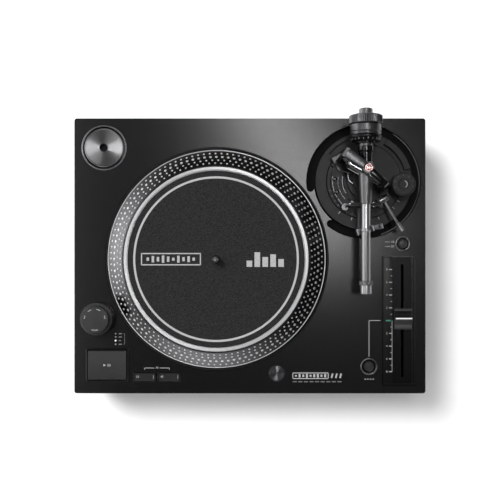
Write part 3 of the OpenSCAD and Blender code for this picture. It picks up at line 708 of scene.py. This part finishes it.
def build_keys():
    """Start and speed keys in their bezels, with the marks on and between them, and painted highlight lines along their
    edges.
    """
    start, speed, other = (on_deck(node) for node in ("start_stop_button", "speed_33_button", "speed_45_button"))
    frames = [frame_ring("start_bezel", (43.6, 33.5), (39.1, 29.3), -8, 0.25, start, "gloss", "plinth",
                         "black_plastic", edge=0.9, r_in=0.6)]
    frames += [frame_ring("speed_bezel", (23.6, 9.9), (21.4, 8.5), -8, 0.25, spot, "gloss", "plinth",
                          "black_plastic", edge=0.35, r_out=0.4, r_in=0.3) for spot in (speed, other)]
    join("key_bezel_set", frames, "plinth", "black_plastic", "key_bezels")
    block("start_stop_cap", 38.3, 28.5, -8, 1.0, start, "key", "start_stop_key", "key_dark", edge=0.9,
          node="start_stop_button")
    mark = Print("start_stop_marks", above(start, DECK + 1.0 * MM), "print", "start_stop_key", "key_dark")
    mark.prism([(-3.6, -1.3), (-1.2, 0), (-3.6, 1.3)])
    for x in (1.0, 2.8):
        mark.line((x, -1.3), (x, 1.3), 0.7)
    mark.done()
    # a bright line along the start key's front edge: painted highlight
    trim_and_highlight = Print("key_edge_highlight", above(start, DECK + 0.84 * MM), "crest", "start_stop_key", "key_dark")
    trim_and_highlight.line((-18.4, -13.6), (18.4, -13.6), 0.8)
    trim_and_highlight.done()
    # light lines on the start bezel's left side and the speed bezels' sides and bottoms: painted highlight
    edges = Print("bezel_edge_highlights", above(start, DECK + 0.24 * MM), "ring", "plinth", "black_plastic")
    edges.line((-20.4, -15.4), (-20.4, 15.4), 0.6)
    for spot in (speed - start, other - start):
        x, y = spot.x / MM, spot.y / MM
        for side in (-11.2, 11.2):
            edges.line((x + side, y - 4.4), (x + side, y + 4.4), 0.55)
        edges.line((x - 11.2, y - 4.55), (x + 11.2, y - 4.55), 0.5)
    edges.done()
    outline = round_outline(20.7, 7.9, 0.4)
    crown = [(x, y * (0.78 if y < 0 else 0.9)) for x, y in outline]
    for number, spot in (("33", speed), ("45", other)):
        body = "speed_%s_key" % number
        loft(body + "_cap", [(outline, -8), (outline, 0.1), (crown, 0.9)], spot, "knob_low", body, "key_dark",
             node="speed_%s_button" % number)
        digits = Print(body + "_number", above(spot, DECK + 0.9 * MM), "print", body, "key_dark")
        digits.digits(number, -7.0, 0.4, 2.2)
        digits.line((8.6, -1.6), (8.6, 1.8), 0.35)
        digits.done()
    bracket = Print("speed_bracket", (speed + other) / 2, "print")
    half, y = 12.2, 8.9
    for side in (-1, 1):
        bracket.line((side * half, y), (side * 2.6, y), 0.5)
        bracket.line((side * half, y), (side * half, y - 1.7), 0.5)
    bracket.digits("78", 0, y + 0.1, 2.0)
    bracket.done()


def build_small_buttons():
    parts = []
    for node, body, ring_r in (("reset_button", "reset_key", 8.5), ("range_button", "range_key", 7.5)):
        spot = on_deck(node)
        rim = [(5.3, -8), (5.3, -2.0), (ring_r - 2.3, -1.8), (ring_r - 1.7, 0.2), (ring_r - 1.2, 0.75),
               (ring_r - 0.6, 0.75), (ring_r, 0.1), (ring_r, -8)]
        # a band near each ring's outer edge takes the crest paint: painted highlight
        parts.append(lathe(
            body + "_ring", rim, spot, ["gloss", "crest"], "plinth", "bright_metal", round_mm=0.25,
            choose=lambda r, along, edge=ring_r: 1 if edge - 2.0 < r < edge - 0.3 and along > 0 else 0))
        cap = [(0, 0.7), (3.0, 0.7), (3.25, 0.45), (3.5, 0.75), (4.3, 1.0), (4.9, 0.6), (5.0, -8), (0, -8)]
        lathe(body + "_cap", cap, spot, "knob_low", body, "key_dark", round_mm=0.12, closed=False, node=node)
    join("button_ring_set", parts, "plinth", "bright_metal", node="button_rings")
    link = Print("reset_line", on_deck("reset_button"), "print")
    link.line((0, 9.6), (0, 45.2), 0.55)
    link.line((0, 45.2), (11.2, 45.2), 0.55)
    for k in range(4):
        link.line((-4.5 + k * 2.6, -12.6), (-2.9 + k * 2.6, -12.6), 0.7)
    link.done()
    side = Print("range_marks", on_deck("range_button"), "print")
    for y, text in ((1.5, "10"), (-2.9, "20")):
        side.digits(text, -9.9, y, 2.3)
        side.line((-14.3, y), (-12.3, y), 0.5)
    side.done()


def build_leds():
    column = Vector((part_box("status_leds")[0].x + 0.8 * MM, PLINTH.y, DECK))
    lit = Print("status_marks", column, "dim_print")
    for y, wide in ((-76.7, 3.2), (-79.9, 3.2), (-83.5, 2.2), (-87.1, 3.4)):
        lit.line((3.0, y), (3.0 + wide, y), 1.0)
    lit.line((7.6, -76.7), (8.8, -76.7), 0.35)
    lit.line((7.6, -87.1), (8.8, -87.1), 0.35)
    lit.line((8.8, -76.55), (8.8, -87.25), 0.35)
    lit.done()
    lamp = column - Vector((0, 83.5 * MM, 0))
    # the speed lamp takes the pale led_on paint: painted glow, as it gives no light
    lathe("speed_lamp", [(0, 0.42), (0.6, 0.36), (0.9, 0.2), (0.95, 0.02), (0, 0.02)], lamp, "led_on", "plinth",
          "led_lens", seg=32, round_mm=0, closed=False)


def build_fader():
    spot = on_deck("pitch_slider")
    w, half = 17.0, 10.35
    side = [(-half, 1), (half, 1), (half, 4.2), (half - 0.8, 5.0), (half - 2.6, 5.2), (4.6, 3.6), (2.9, 4.6),
            (2.3, 7.2), (1.7, 7.6), (-1.7, 7.6), (-2.3, 7.2), (-3.4, 5.2), (-5.4, 4.3), (-half + 2.2, 5.0),
            (-half + 0.6, 4.8), (-half, 4.2)]
    side = soften(side, 0.8, 3)
    bm = bmesh.new()
    rings = []
    for x, inset in ((-w / 2, 0.5), (-w / 2 + 0.5, 0.0), (w / 2 - 0.5, 0.0), (w / 2, 0.5)):
        ring = []
        for y, z in side:
            yy = max(-half + inset, min(half - inset, y))
            ring.append(bm.verts.new(spot + Vector((x, yy, max(1.0, z - inset))) * MM))
        rings.append(ring)
    # the faces of the cap's rear-facing slope take the pit paint: painted shade
    for face in sum(skin(bm, zip(rings, rings[1:])), []):
        rise = (face.verts[0].co.y + face.verts[1].co.y) / 2 / MM - spot.y / MM
        face.material_index = 1 if 2.5 < rise < 8.2 else 0
    bm.faces.new(rings[0])
    bm.faces.new(rings[-1])
    top = finish_mesh("pitch_cap_top", bm, ["knob", "pit"], "pitch_fader", "knob_dark")
    stem = block("pitch_cap_stem", 2.0, 8.0, -12, 1.2, spot, "plastic", "pitch_fader", "knob_dark", r=0.4, edge=0.1)
    join("pitch_cap", [top, stem], "pitch_fader", "knob_dark", node="pitch_slider")
    line = Print("pitch_cap_line", spot + Vector((0, 0, 7.6 * MM)), "white_print", "pitch_fader", "knob_dark")
    line.line((-8.0, 0.75), (8.0, 0.75), 1.1)
    line.done()
    build_scale()


def build_scale():
    high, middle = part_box("pitch_scale_plate")[1], box_mid("pitch_panel").y
    origin = Vector((high.x, middle, high.z))
    marks = Print("pitch_marks", origin, "print", "plinth", "panel_metal")
    step = 12.6
    for k in range(-4, 5):
        y = 0.1 - k * step
        if k:
            marks.line((-3.4, y), (-0.4, y), 0.75)
            marks.digits(str(abs(k) * 2), -5.6, y, 2.1)
        if k < 4:
            marks.line((-1.9, y - step / 2), (-0.4, y - step / 2), 0.55)
    marks.line((-0.4, 0.1), (-0.4, -4 * step), 0.35)
    marks.done()
    zero = Print("pitch_zero", origin, "green", "plinth", "panel_metal")
    zero.line((-6.6, 0.1), (-1.6, 0.1), 1.5)
    zero.done()
    rim_low, rim_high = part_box("pitch_panel")
    rims = Print("panel_rims", Vector((rim_high.x, middle, rim_high.z)), "ring", "plinth", "panel_metal")
    half = (rim_high.y - rim_low.y) / MM / 2
    for x in (-0.7, -3.4):
        rims.line((x, -half + 1.2), (x, half - 1.2), 0.45)
    rims.line(((rim_low.x - rim_high.x) / MM + 1, half - 0.8), (-0.7, half - 0.8), 0.45)
    rims.done()


def build_target_light():
    top = top_of("target_light")
    profile = [(0, -0.5), (1.1, -0.5), (1.3, 0), (5.8, -0.25), (6.2, 0), (6.8, 0), (7.2, -0.4), (7.2, -22.8),
               (6.2, -22.8), (6.2, -44.8), (0, -44.8)]
    lathe("target_light_body", profile, top, "spun_light", "target_light", "turned_alloy", closed=False,
          round_mm=0.15, node="target_light")


# --- platter

def build_platter():
    top = top_of("platter")
    profile = [
        (5.0, -0.8), (86.0, -0.8), (86.0, -0.15), (86.2, 0), (88.6, 0), (88.8, -0.3), (89.0, -0.3),
        (89.2, -0.1), (90.4, -0.5), (91.0, -0.9), (105.5, -12.0), (105.7, -12.4), (106.0, -12.4),
        (106.2, -12.2), (106.6, -12.3), (106.7, -12.6), (106.7, -23.2), (103.2, -23.2), (103.2, -14.8),
        (89.0, -4.8), (14, -4.8), (14, -17.2), (5.0, -17.2),
    ]

    def choose(r, h):
        if 88.9 < r < 105.8 and h > -12.45:
            return 1
        return 0 if r > 85.5 and h > -14 else 2

    lathe("platter_body", profile, top, ["lip", "band", "satin_alloy"], "platter", "platter_alloy", seg=256,
          round_mm=0.12, choose=choose, node="platter")
    build_dots(top)
    build_mat_print()


def build_dots(top):
    """Strobe dots: four rings of small bright domes on the bevel."""
    drop, run = 11.5, 14.7
    slope = math.atan2(drop, run)
    out, up = math.cos(slope), -math.sin(slope)
    bm = bmesh.new()
    sides = 8
    for row, count, size in ((92.5, 101, 0.9), (95.7, 104, 0.95), (99.2, 108, 1.35), (102.9, 113, 1.0)):
        height = -0.5 - (row - 91.0) * drop / run
        for k in range(count):
            turn = TAU * k / count + math.radians(30)
            away = Vector((math.cos(turn), math.sin(turn), 0))
            side = Vector((-away.y, away.x, 0))
            down = away * out + Vector((0, 0, up))
            face = away * -up + Vector((0, 0, out))
            middle = top + (away * row + Vector((0, 0, height))) * MM
            rings = []
            for reach, lift in ((1.0, -0.05), (1.0, 0.06), (0.8, 0.2), (0.5, 0.27)):
                ring = []
                for j in range(sides):
                    a = TAU * (j + 0.5) / sides
                    flat = side * math.cos(a) + down * math.sin(a)
                    ring.append(bm.verts.new(middle + (flat * size * reach + face * lift) * MM))
                rings.append(ring)
            skin(bm, zip(rings, rings[1:]))
            bm.faces.new(rings[-1])
            bm.faces.new(rings[0])
    finish_mesh("strobe_dots", bm, "dot", "platter", "platter_alloy", 60)


def build_mat_print():
    """Plain bars and blocks where a slipmat carries its print."""
    mat_top = above(PLATTER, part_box("slipmat")[1].z)
    left = Print("mat_badge", mat_top, "mat_print", "slipmat", "mat_felt")
    for y in (-5.4, 5.4):
        left.line((-71.5, y), (-15.0, y), 1.1)
    for x in (-71.5, -15.0):
        left.line((x, -5.9), (x, 5.9), 1.1)
    for k, tall in enumerate((3.2, 6.2, 4.4, 7.0, 5.2, 2.8, 6.6, 4.0, 5.8, 3.0)):
        left.line((-65.5 + k * 4.9, -tall / 2), (-65.5 + k * 4.9, tall / 2), 2.4)
    left.done()
    right = Print("mat_blocks", mat_top, "mat_print", "slipmat", "mat_felt")
    for k, tall in enumerate((6.0, 14.0, 9.5, 12.0, 7.5)):
        x = 32.0 + k * 7.6
        right.prism([(x - 2.7, -7.4), (x + 2.7, -7.4), (x + 2.7, -7.4 + tall), (x - 2.7, -7.4 + tall)])
    right.done()


# --- tonearm base

def build_arm_base():
    build_base_marks()
    build_board_ribs()
    build_dial()
    build_yoke()
    build_lift()


def build_base_marks():
    """Index ticks on the height ring and a few pan-head screws on the arm board."""
    ticks = Print("base_ticks", above(ARM_BASE, DECK + 2 * MM), "print", "plinth", "black_plastic")
    for turn in (232, 252, 262, 277, 292, 318, 330):
        ticks.spoke(turn, 37.6, 40.4, 0.5)
    ticks.done()
    rings = Print("ring_digits", above(ARM_BASE, DECK + 3 * MM), "dim_print", "height_ring", "black_plastic")
    for k in range(8):
        rings.spoke(196 + k * 9, 33.2, 35.6, 0.4)
    rings.done()
    for k, (x, y) in enumerate(((-27.5, -11.0), (-19.5, 15.5), (-29.5, 1.5), (9.5, 8.0))):
        spot = ARM_BASE + Vector((x, y, 0)) * MM
        head = [(0, 1.0), (0.7, 1.0), (0.75, 0.6), (1.2, 0.6), (1.25, 1.0), (1.9, 0.75), (2.2, 0.1), (2.2, -0.2),
                (0, -0.2)]
        lathe("board_screw_%d" % k, head, above(spot, BOARD_TOP), "shaft", "arm_board", "bright_metal", seg=32,
              closed=False, round_mm=0.1)


def build_board_ribs():
    """Raised ribs, a bearing cup and a dark gloss block on the arm board; the block is painted shadow where the yoke's
    shadow falls.
    """
    ribs = Print("board_ribs", above(ARM_BASE, BOARD_TOP), "ring", "arm_board", "black_plastic")
    ribs.arc(31.6, 172, 232, 0.5, 30)
    ribs.arc(26.2, 172, 222, 0.45, 24)
    ribs.arc(22.0, 168, 214, 0.45, 24)
    ribs.done()
    # the cup's rolled top rim takes the crest paint: painted highlight
    cup = [(0, -0.2), (9.4, -0.2), (9.4, 1.4), (8.9, 1.9), (8.0, 1.9), (7.6, 1.5), (7.4, 0.6), (0, 0.6)]
    lathe("bearing_cup", cup, above(PIVOT + Vector((-4.6, -3.2, 0)) * MM, BOARD_TOP), ["plastic", "crest"],
          "arm_board", "black_plastic", seg=96, closed=False, round_mm=0.2,
          choose=lambda r, along: 1 if 7.6 < r < 8.95 and along > 1.6 else 0)
    # a dark gloss block where the yoke's shadow falls on the board: painted shadow
    corners = [(-33.5, 22.0), (-21.0, 28.5), (-8.5, 14.0), (-14.0, 6.5), (-26.5, 9.5)]
    inset = [(x * 0.93 - 0.07 * 20.7, y * 0.93 + 0.07 * 16.1) for x, y in corners]
    loft("yoke_shadow_block", [(corners, -0.2), (corners, 2.2), (inset, 2.8)], above(ARM_BASE, BOARD_TOP), "gloss",
         "arm_board", "black_plastic")
    # a lighter arc along the recess's right rim: painted highlight on its lit edge
    rim = Print("recess_rim_highlight", above(ARM_BASE, DECK), "dim_print")
    rim.arc(54.9, -72, 58, 0.4, 48)
    rim.done()


def build_dial():
    top = top_of("anti_skate_dial")
    profile = [(0, -0.9), (4.7, -0.9), (5.0, -0.6), (5.0, -0.1), (5.3, 0), (9.6, 0), (10.9, -0.4), (11.4, -1.1),
               (11.4, -7.0), (9, -7.0), (9, -9.0), (2.5, -9.0), (2.5, -22.3), (0, -22.3)]
    lathe("anti_skate_body", profile, top, "plastic", "anti_skate", "knob_dark", seg=192, closed=False, round_mm=0.2,
          wave=ridges(48, 0.12, -6.6, -1.6), node="anti_skate_dial")
    marks = Print("anti_skate_marks", top, "dim_print", "anti_skate", "knob_dark")
    for k in range(7):
        marks.spoke(200 - k * 36, 8.2, 9.6, 0.4)
    marks.done()
    # a pale arc on the right of the dimple's floor: painted highlight
    dimple_highlight = Print("anti_skate_dimple_highlight", above(top, top.z - 0.9 * MM), "print", "anti_skate", "knob_dark")
    dimple_highlight.arc(3.4, -60, 70, 0.45, 12)
    dimple_highlight.done()


def build_yoke():
    """The bridge over the gimbal: two legs and an arched bar, broad at the rear left; the bar's right half is painted
    darker, as painted shade.
    """
    low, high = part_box("yoke")
    pivot = above(PIVOT, high.z)
    foot = (low.z - high.z) / MM
    reach = 25.2 + 1.75
    path = [(-reach, foot, 9.0, 3.5), (-reach, -7.0, 9.4, 3.5), (-reach + 0.5, -3.4, 9.6, 3.6),
            (-reach + 3.0, -0.7, 9.6, 3.6), (-reach + 8.0, -0.2, 9.0, 3.7), (-9.0, 0, 8.2, 3.9),
            (0, 0, 6.6, 3.9), (8.0, 0, 5.4, 3.8), (16.0, -0.3, 5.2, 3.4), (21.0, -1.2, 5.4, 3.0),
            (23.4, -3.6, 6.0, 3.0), (24.8, -9.0, 7.0, 3.2), (reach, -16.0, 9.0, 3.5), (reach, foot, 9.0, 3.5)]
    bm = bmesh.new()
    rings = []
    for k, (x, z, wide, thick) in enumerate(path):
        before, after = path[max(0, k - 1)], path[min(len(path) - 1, k + 1)]
        along = Vector((after[0] - before[0], 0, after[1] - before[1])).normalized()
        inward = Vector((along.z, 0, -along.x))
        turn = YOKE_DEG + (2.5 if x < 0 else -4.5 if x > 0 else 0) * (1 if z > -12 else 0)
        spin = Matrix.Rotation(math.radians(turn), 3, "Z")
        edge = 0.6
        ring = []
        for dy, depth in ((-wide / 2, edge), (-wide / 2 + edge * 0.3, edge * 0.3), (-wide / 2 + edge, 0),
                          (wide / 2 - edge, 0), (wide / 2 - edge * 0.3, edge * 0.3), (wide / 2, edge),
                          (wide / 2, thick), (-wide / 2, thick)):
            spot = Vector((x, dy, z)) + inward * depth
            ring.append(bm.verts.new(pivot + spin @ (spot * MM)))
        rings.append(ring)
    # the strips of the bar's right half take the darker shaft paint: painted shade
    for face in sum(skin(bm, zip(rings, rings[1:]))[6:], []):
        face.material_index = 1
    bm.faces.new(rings[0])
    bm.faces.new(rings[-1])
    bar = finish_mesh("yoke_bar", bm, ["yoke", "shaft"], "arm_board", "arm_metal", 40)
    boss = lathe("yoke_boss", [(2.1, 0), (5.0, 0), (5.6, -0.6), (5.6, -4), (2.1, -4)], pivot, "yoke", "arm_board",
                 "arm_metal", seg=64)
    join("yoke_bridge", [bar, boss], "arm_board", "arm_metal", node="yoke")
    screw = [(0, 0.7), (1.0, 0.7), (1.15, 1.1), (1.95, 1.0), (2.1, 0.7), (2.3, 0.5), (2.5, 0.9), (3.0, 1.8),
             (3.5, 1.8), (3.8, 1.3), (3.8, 0), (2.0, 0), (2.0, -6.5), (0, -6.5)]
    lathe("pivot_screw_body", screw, pivot, "rose", "arm_board", "bright_metal", seg=64, closed=False, round_mm=0.12,
          node="pivot_screw")


def build_lift():
    low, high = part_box("lift_platform")
    deck = top_of("lift_platform")
    wide, foot = (high.x - low.x) / MM, (low.z - high.z) / MM
    parts = [
        block("lift_bar", wide, 3.2, -3.6, -0.6, deck, "steel", "lift_platform", "lift_rubber", r=1.5, edge=0.6),
        block("lift_pad", wide - 3, 2.2, -0.8, 0.0, deck, "rubber", "lift_platform", "lift_rubber", r=1.0, edge=0.3),
        lathe("lift_stem", [(0, -3.4), (2.5, -3.4), (2.5, foot), (0, foot)],
              Vector((ARM_BASE.x + 6 * MM, deck.y, deck.z)), "chrome", "lift_platform", "lift_rubber", seg=48,
              closed=False),
    ]
    join("lift_arm", parts, "lift_platform", "lift_rubber", "lift_platform")


# --- tonearm

def along_arm(y):
    """A place on the arm's axis, from a Y in metres."""
    return Vector((ARM.x, y, ARM.z))


def on_arm(name, profile, y, paint, body="tonearm", slot="arm_metal", seg=96, closed=False, round_mm=0.15, **more):
    """A turned piece on the arm's axis, from a Y in metres."""
    return lathe(name, profile, along_arm(y), paint, body, slot, "Y", seg, round_mm, closed, **more)


def build_arm():
    build_gimbal()
    front, length = span("arm_tube")
    tube = [(3.6, 0), (4.2, 0), (4.2, 46.2), (5.0, 46.4), (5.3, 46.8), (5.3, 48.2), (5.0, 48.6), (4.2, 48.8),
            (4.2, length), (3.6, length)]
    on_arm("arm_tube_body", tube, front, "arm", closed=True, node="arm_tube")
    nose, length = span("arm_housing")
    shell = [(4.25, 0), (5.1, 0), (5.25, 0.6), (6.5, 23.3), (6.5, length - 0.6), (6.1, length), (0, length)]
    parts = [on_arm("arm_housing_shell", shell, nose, "housing", round_mm=0.4),
             on_arm("arm_housing_mouth", [(4.25, 0.0), (4.25, 6.0), (0, 6.0)], nose, "housing", round_mm=0),
             tilt_shaft()]
    join("arm_housing_body", parts, "tonearm", "arm_metal", "arm_housing")
    build_socket()
    build_rear()


def tilt_shaft():
    """The cross shaft that carries the arm between the gimbal's two screws."""
    half = 16.4
    profile = [(0, -half), (2.6, -half), (3.0, -half + 0.5), (3.0, half - 0.5), (2.6, half), (0, half)]
    shaft = lathe("tilt_shaft", profile, Vector((0, 0, 0)), "housing", "tonearm", "arm_metal", axis="Y", seg=48,
                  closed=False)
    turn = Matrix.Rotation(math.radians(GIMBAL_DEG - 90), 4, "Z")
    shaft.data.transform(Matrix.Translation(along_arm(box_mid("gimbal_frame").y)) @ turn)
    return shaft


def build_gimbal():
    """A tall stadium frame with a window for the arm, hung on the vertical pivot."""
    centre = above(box_mid("gimbal_frame"), ARM.z)
    half, r = 20.0, 3.2
    quarter_steps = [math.radians(15 * k - 90) for k in range(13)]

    def stadium(by):
        """The frame's outline, drawn in by so many millimetres."""
        ends = [(math.cos(a) * (r + by), math.sin(a) * (r + by)) for a in quarter_steps]
        return [(side * (half - r + x), side * y) for side in (1, -1) for x, y in ends]

    rim = [(-2.0, 8.0), (-0.3, 8.0), (0.0, 8.3), (0.0, 10.1), (-0.3, 10.7), (-0.9, 11.0), (-2.0, 11.0)]
    parts = []
    for side in (1, -1):
        layers = [(stadium(by), side * z) for by, z in rim[::side]]
        parts.append(loft("gimbal_ring", layers, centre, "chrome", "gimbal", "chrome", False, GIMBAL_DEG))
        end = [(side * (half - r + r * math.cos(a)), side * r * math.sin(a)) for a in quarter_steps]
        root = side * (half - 3.6)
        post = [(root, -side * r)] + end + [(root, side * r)]
        parts.append(loft("gimbal_post", [(post, -8.4), (post, 8.4)], centre, "chrome", "gimbal", "chrome",
                          turn_deg=GIMBAL_DEG))
    top = [(0, 8.2), (4.4, 8.2), (4.4, 11.4), (2.1, 11.4), (2.1, 9.2), (0, 9.2)]
    low = [(0, -8.2), (4.4, -8.2), (4.4, -11.4), (4.0, -11.6), (4.0, -14), (2, -14), (2, -18), (0, -18)]
    for profile in (top, low):
        parts.append(lathe("gimbal_boss", profile, above(PIVOT, ARM.z), "chrome", "gimbal", "chrome", seg=64,
                           closed=False))
    for low_z in (9.2, -10.8):
        parts.append(block("gimbal_bar", 33.5, 4.4, low_z, low_z + 1.6, centre, "shaft", "gimbal", "chrome", r=1.0,
                           turn_deg=GIMBAL_DEG))
    join("gimbal_body", parts, "gimbal", "chrome", "gimbal_frame")


def build_socket():
    front = span("headshell_socket")[0]
    profile = [(4.0, 10.9), (4.0, 0.3), (4.3, 0), (5.0, 0), (5.3, 0.4), (5.3, 11.9), (5.0, 12.1), (3.6, 12.1),
               (3.6, 18.1), (0, 18.1)]
    parts = [on_arm("socket_shell", profile, front, "arm"),
             on_arm("socket_floor", [(4.0, 10.9), (0, 10.9)], front, "shaft", round_mm=0)]
    join("headshell_socket_body", parts, "tonearm", "arm_metal", "headshell_socket")
    for k, (x, z) in enumerate(((-1.4, -1.4), (1.4, -1.4), (-1.4, 1.4), (1.4, 1.4))):
        lathe("contact_pin_%d" % k, [(0, 9.0), (0.45, 9.1), (0.45, 10.9), (0, 10.9)],
              along_arm(front) + Vector((x, 0, z)) * MM, "gold", "tonearm", "bright_metal", axis="Y", seg=16,
              closed=False, round_mm=0)
    start, long = span("locking_collar")
    profile = [(5.36, 0), (5.9, 0), (6.2, 0.4), (6.2, long - 0.4), (5.9, long), (5.36, long)]
    on_arm("locking_collar_body", profile, start, "housing", "locking_collar", seg=144, closed=True,
           wave=ridges(36, 0.1, 0.35, long - 0.35), node="locking_collar")


def build_rear():
    """Shaft, counterweight and its numbered ring, with their knurls."""
    start, long = span("rear_shaft")
    collar = 12.6
    shaft = [(0, 0), (6.4, 0), (6.4, collar - 3.6), (6.8, collar - 3.3), (6.8, collar - 1.2), (6.4, collar - 0.9),
             (6.4, collar - 0.4), (7.5, collar), (7.5, collar + 4.4), (6.4, collar + 4.8), (6.4, long - 0.8),
             (5.6, long), (4.4, long), (4.1, long - 0.5), (0, long - 0.5)]
    on_arm("rear_shaft_body", shaft, start, ["shaft", "housing"], node="rear_shaft",
           choose=lambda r, along: 1 if collar + 3.2 < along < collar + 4.7 or along > collar + 20 else 0)
    start, long = span("counterweight")
    weight = [(9.05, 0), (11, 0), (11, 5.8), (13.6, 5.8), (14.2, 6.2), (14.6, 8.4), (14.2, 8.7), (14.2, 9.2),
              (14.7, 9.6), (14.7, 15.6), (14.2, 15.9), (14.2, 16.6), (15.1, 16.8), (15.3, 17.3), (15.3, long - 0.9),
              (14.6, long), (11.5, long), (11.0, long - 0.6), (9.05, long - 0.6)]
    on_arm("counterweight_body", weight, start, ["weight", "dial"], "counterweight", "weight_metal", 360, True, 0.25,
           wave=ridges(60, 0.22, 17.2, long - 0.8), choose=lambda r, along: 1 if 15.7 < along < 16.7 else 0,
           node="counterweight")
    start, long = span("weight_dial")
    ring = [(11.05, 0), (12.4, 0), (13.2, 0.5), (14.8, 3.4), (14.9, 3.9), (14.9, long - 0.3), (14.6, long),
            (11.05, long)]
    on_arm("weight_dial_body", ring, start, "dial", "force_ring", "weight_metal", 192, True, 0.2,
           wave=ridges(48, 0.08, 3.8, long - 0.3), node="weight_dial")
    build_force_digits(along_arm(start))


def build_force_digits(centre):
    """Ticks and numerals 0 to 4 on the cone of the force ring, laid along its slope."""
    pieces = Print("force_digits", Vector((0, 0, 0)), "print", "force_ring", "weight_metal")
    slope = math.atan2(1.6, 2.9)
    count = 20
    for k in range(count):
        first = len(pieces.bm.verts)
        if k % 4 == 0:
            pieces.digits(str(k // 4), 0, 0.0, 1.7)
        else:
            pieces.line((0, -0.8), (0, 0.5 if k % 2 else 0.9), 0.3)
        pieces.bm.verts.ensure_lookup_table()
        lay = Matrix.Translation(centre + Vector((0, 1.95 * MM, 0))) @ Matrix.Rotation(TAU * k / count, 4, "Y")
        lay = lay @ Matrix.Translation((0, 0, 14.0 * MM)) @ Matrix.Rotation(slope, 4, "X")
        for vert in pieces.bm.verts[first:]:
            vert.co = lay @ vert.co
    pieces.done()


# --- stage

def area_light(name, place, aim, size, radiance):
    """A softbox that lights the object without showing in the view."""
    data = bpy.data.lights.new(name, "AREA")
    data.shape = "RECTANGLE"
    data.size, data.size_y = size
    data.energy = radiance * math.pi * size[0] * size[1]
    obj = bpy.data.objects.new(name, data)
    obj.location = place
    obj.rotation_euler = (Vector(aim) - Vector(place)).to_track_quat("-Z", "Y").to_euler()
    obj.visible_camera = False
    bpy.context.collection.objects.link(obj)
    return obj


def build_world():
    """A studio that is pale to the eye, dim overhead, and bright low down on the left and in front."""
    world = bpy.data.worlds.new("studio")
    bpy.context.scene.world = world
    world.use_nodes = True
    nodes = Nodes(world.node_tree)
    calc = nodes.math
    way = nodes.new("TexCoord").outputs["Generated"]
    split = nodes.new("SeparateXYZ")
    nodes.feed(split.inputs[0], way)

    def step(low, high):
        node = nodes.new("MapRange", interpolation_type="SMOOTHSTEP")
        nodes.feed(node.inputs["From Min"], low)
        nodes.feed(node.inputs["From Max"], high)
        nodes.feed(node.inputs["Value"], split.outputs["Z"])
        return node.outputs[0]

    def lobe(heading_deg, tightness, strength):
        heading = math.radians(heading_deg)
        toward = nodes.vector("DOT_PRODUCT", way, (math.cos(heading), math.sin(heading), 0))
        return calc("MULTIPLY", calc("POWER", calc("MAXIMUM", toward, 0.0), tightness), strength)

    walls = calc("ADD", lobe(172, 9.0, 3.0), lobe(256, 6.0, 1.5))
    walls = calc("ADD", calc("MULTIPLY", walls, step(0.5, 0.25)), 0.015)
    glow = calc("MULTIPLY", calc("MULTIPLY", step(0.3, 0.55), step(0.95, 0.7)), 0.12)
    total = calc("ADD", walls, glow)
    eye = nodes.new("LightPath").outputs["Is Camera Ray"]
    seen = calc("ADD", calc("MULTIPLY", calc("SUBTRACT", 1.0, eye), total), calc("MULTIPLY", eye, 0.92))
    background = world.node_tree.nodes["Background"]
    nodes.feed(background.inputs["Strength"], seen)
    nodes.feed(background.inputs["Color"], (1, 1, 1, 1))


def build_stage():
    """A wide pale floor just under the feet, and four softboxes over it."""
    bpy.ops.mesh.primitive_plane_add(size=60, location=(0, 0, -0.2 * MM))
    floor = bpy.context.object
    floor.name = "floor"
    pale = Paint("floor_pale", (0.93, 0.93, 0.93), 0.8)
    pale.tint(pale.noise(60, 2), 0.01)
    floor.data.materials.append(pale.mat)
    middle = above(PLINTH, DECK)
    key = area_light("key_box", middle + Vector((-1.6, 1.5, 3.0)), middle, (1.35, 1.35), 26.5)
    fill = area_light("fill_box", middle + Vector((0.1, -0.2, 2.6)), middle, (2.4, 2.4), 0.85)
    key.visible_glossy = fill.visible_glossy = False
    strip = area_light("strip_box", middle + Vector((0.13, 0.29, 1.5)), middle, (0.16, 0.66), 15)
    strip.rotation_euler = (0, 0, math.radians(29))
    beside = middle + Vector((-0.95, 0.1, 0))
    side = area_light("side_box", beside + Vector((0, 0, 1.5)), beside, (0.7, 1.2), 1.4)
    side.rotation_euler = (0, 0, 0)


def build_camera(height_mm=690):
    """Looks straight down at the deck."""
    data = bpy.data.cameras.new("camera")
    data.sensor_width = 36
    data.lens = 50.4
    data.clip_start = 0.01
    data.clip_end = 20
    cam = bpy.data.objects.new("camera", data)
    cam.location = (PLINTH.x + 0.1 * MM, PLINTH.y + 5.8 * MM, DECK + height_mm * MM)
    bpy.context.collection.objects.link(cam)
    bpy.context.scene.camera = cam


bpy.context.scene.view_settings.view_transform = "Standard"
build_camera()
build_world()
make_paints()
dress_nodes()
build_plinth()
build_controls()
build_platter()
build_arm_base()
build_arm()
build_stage()

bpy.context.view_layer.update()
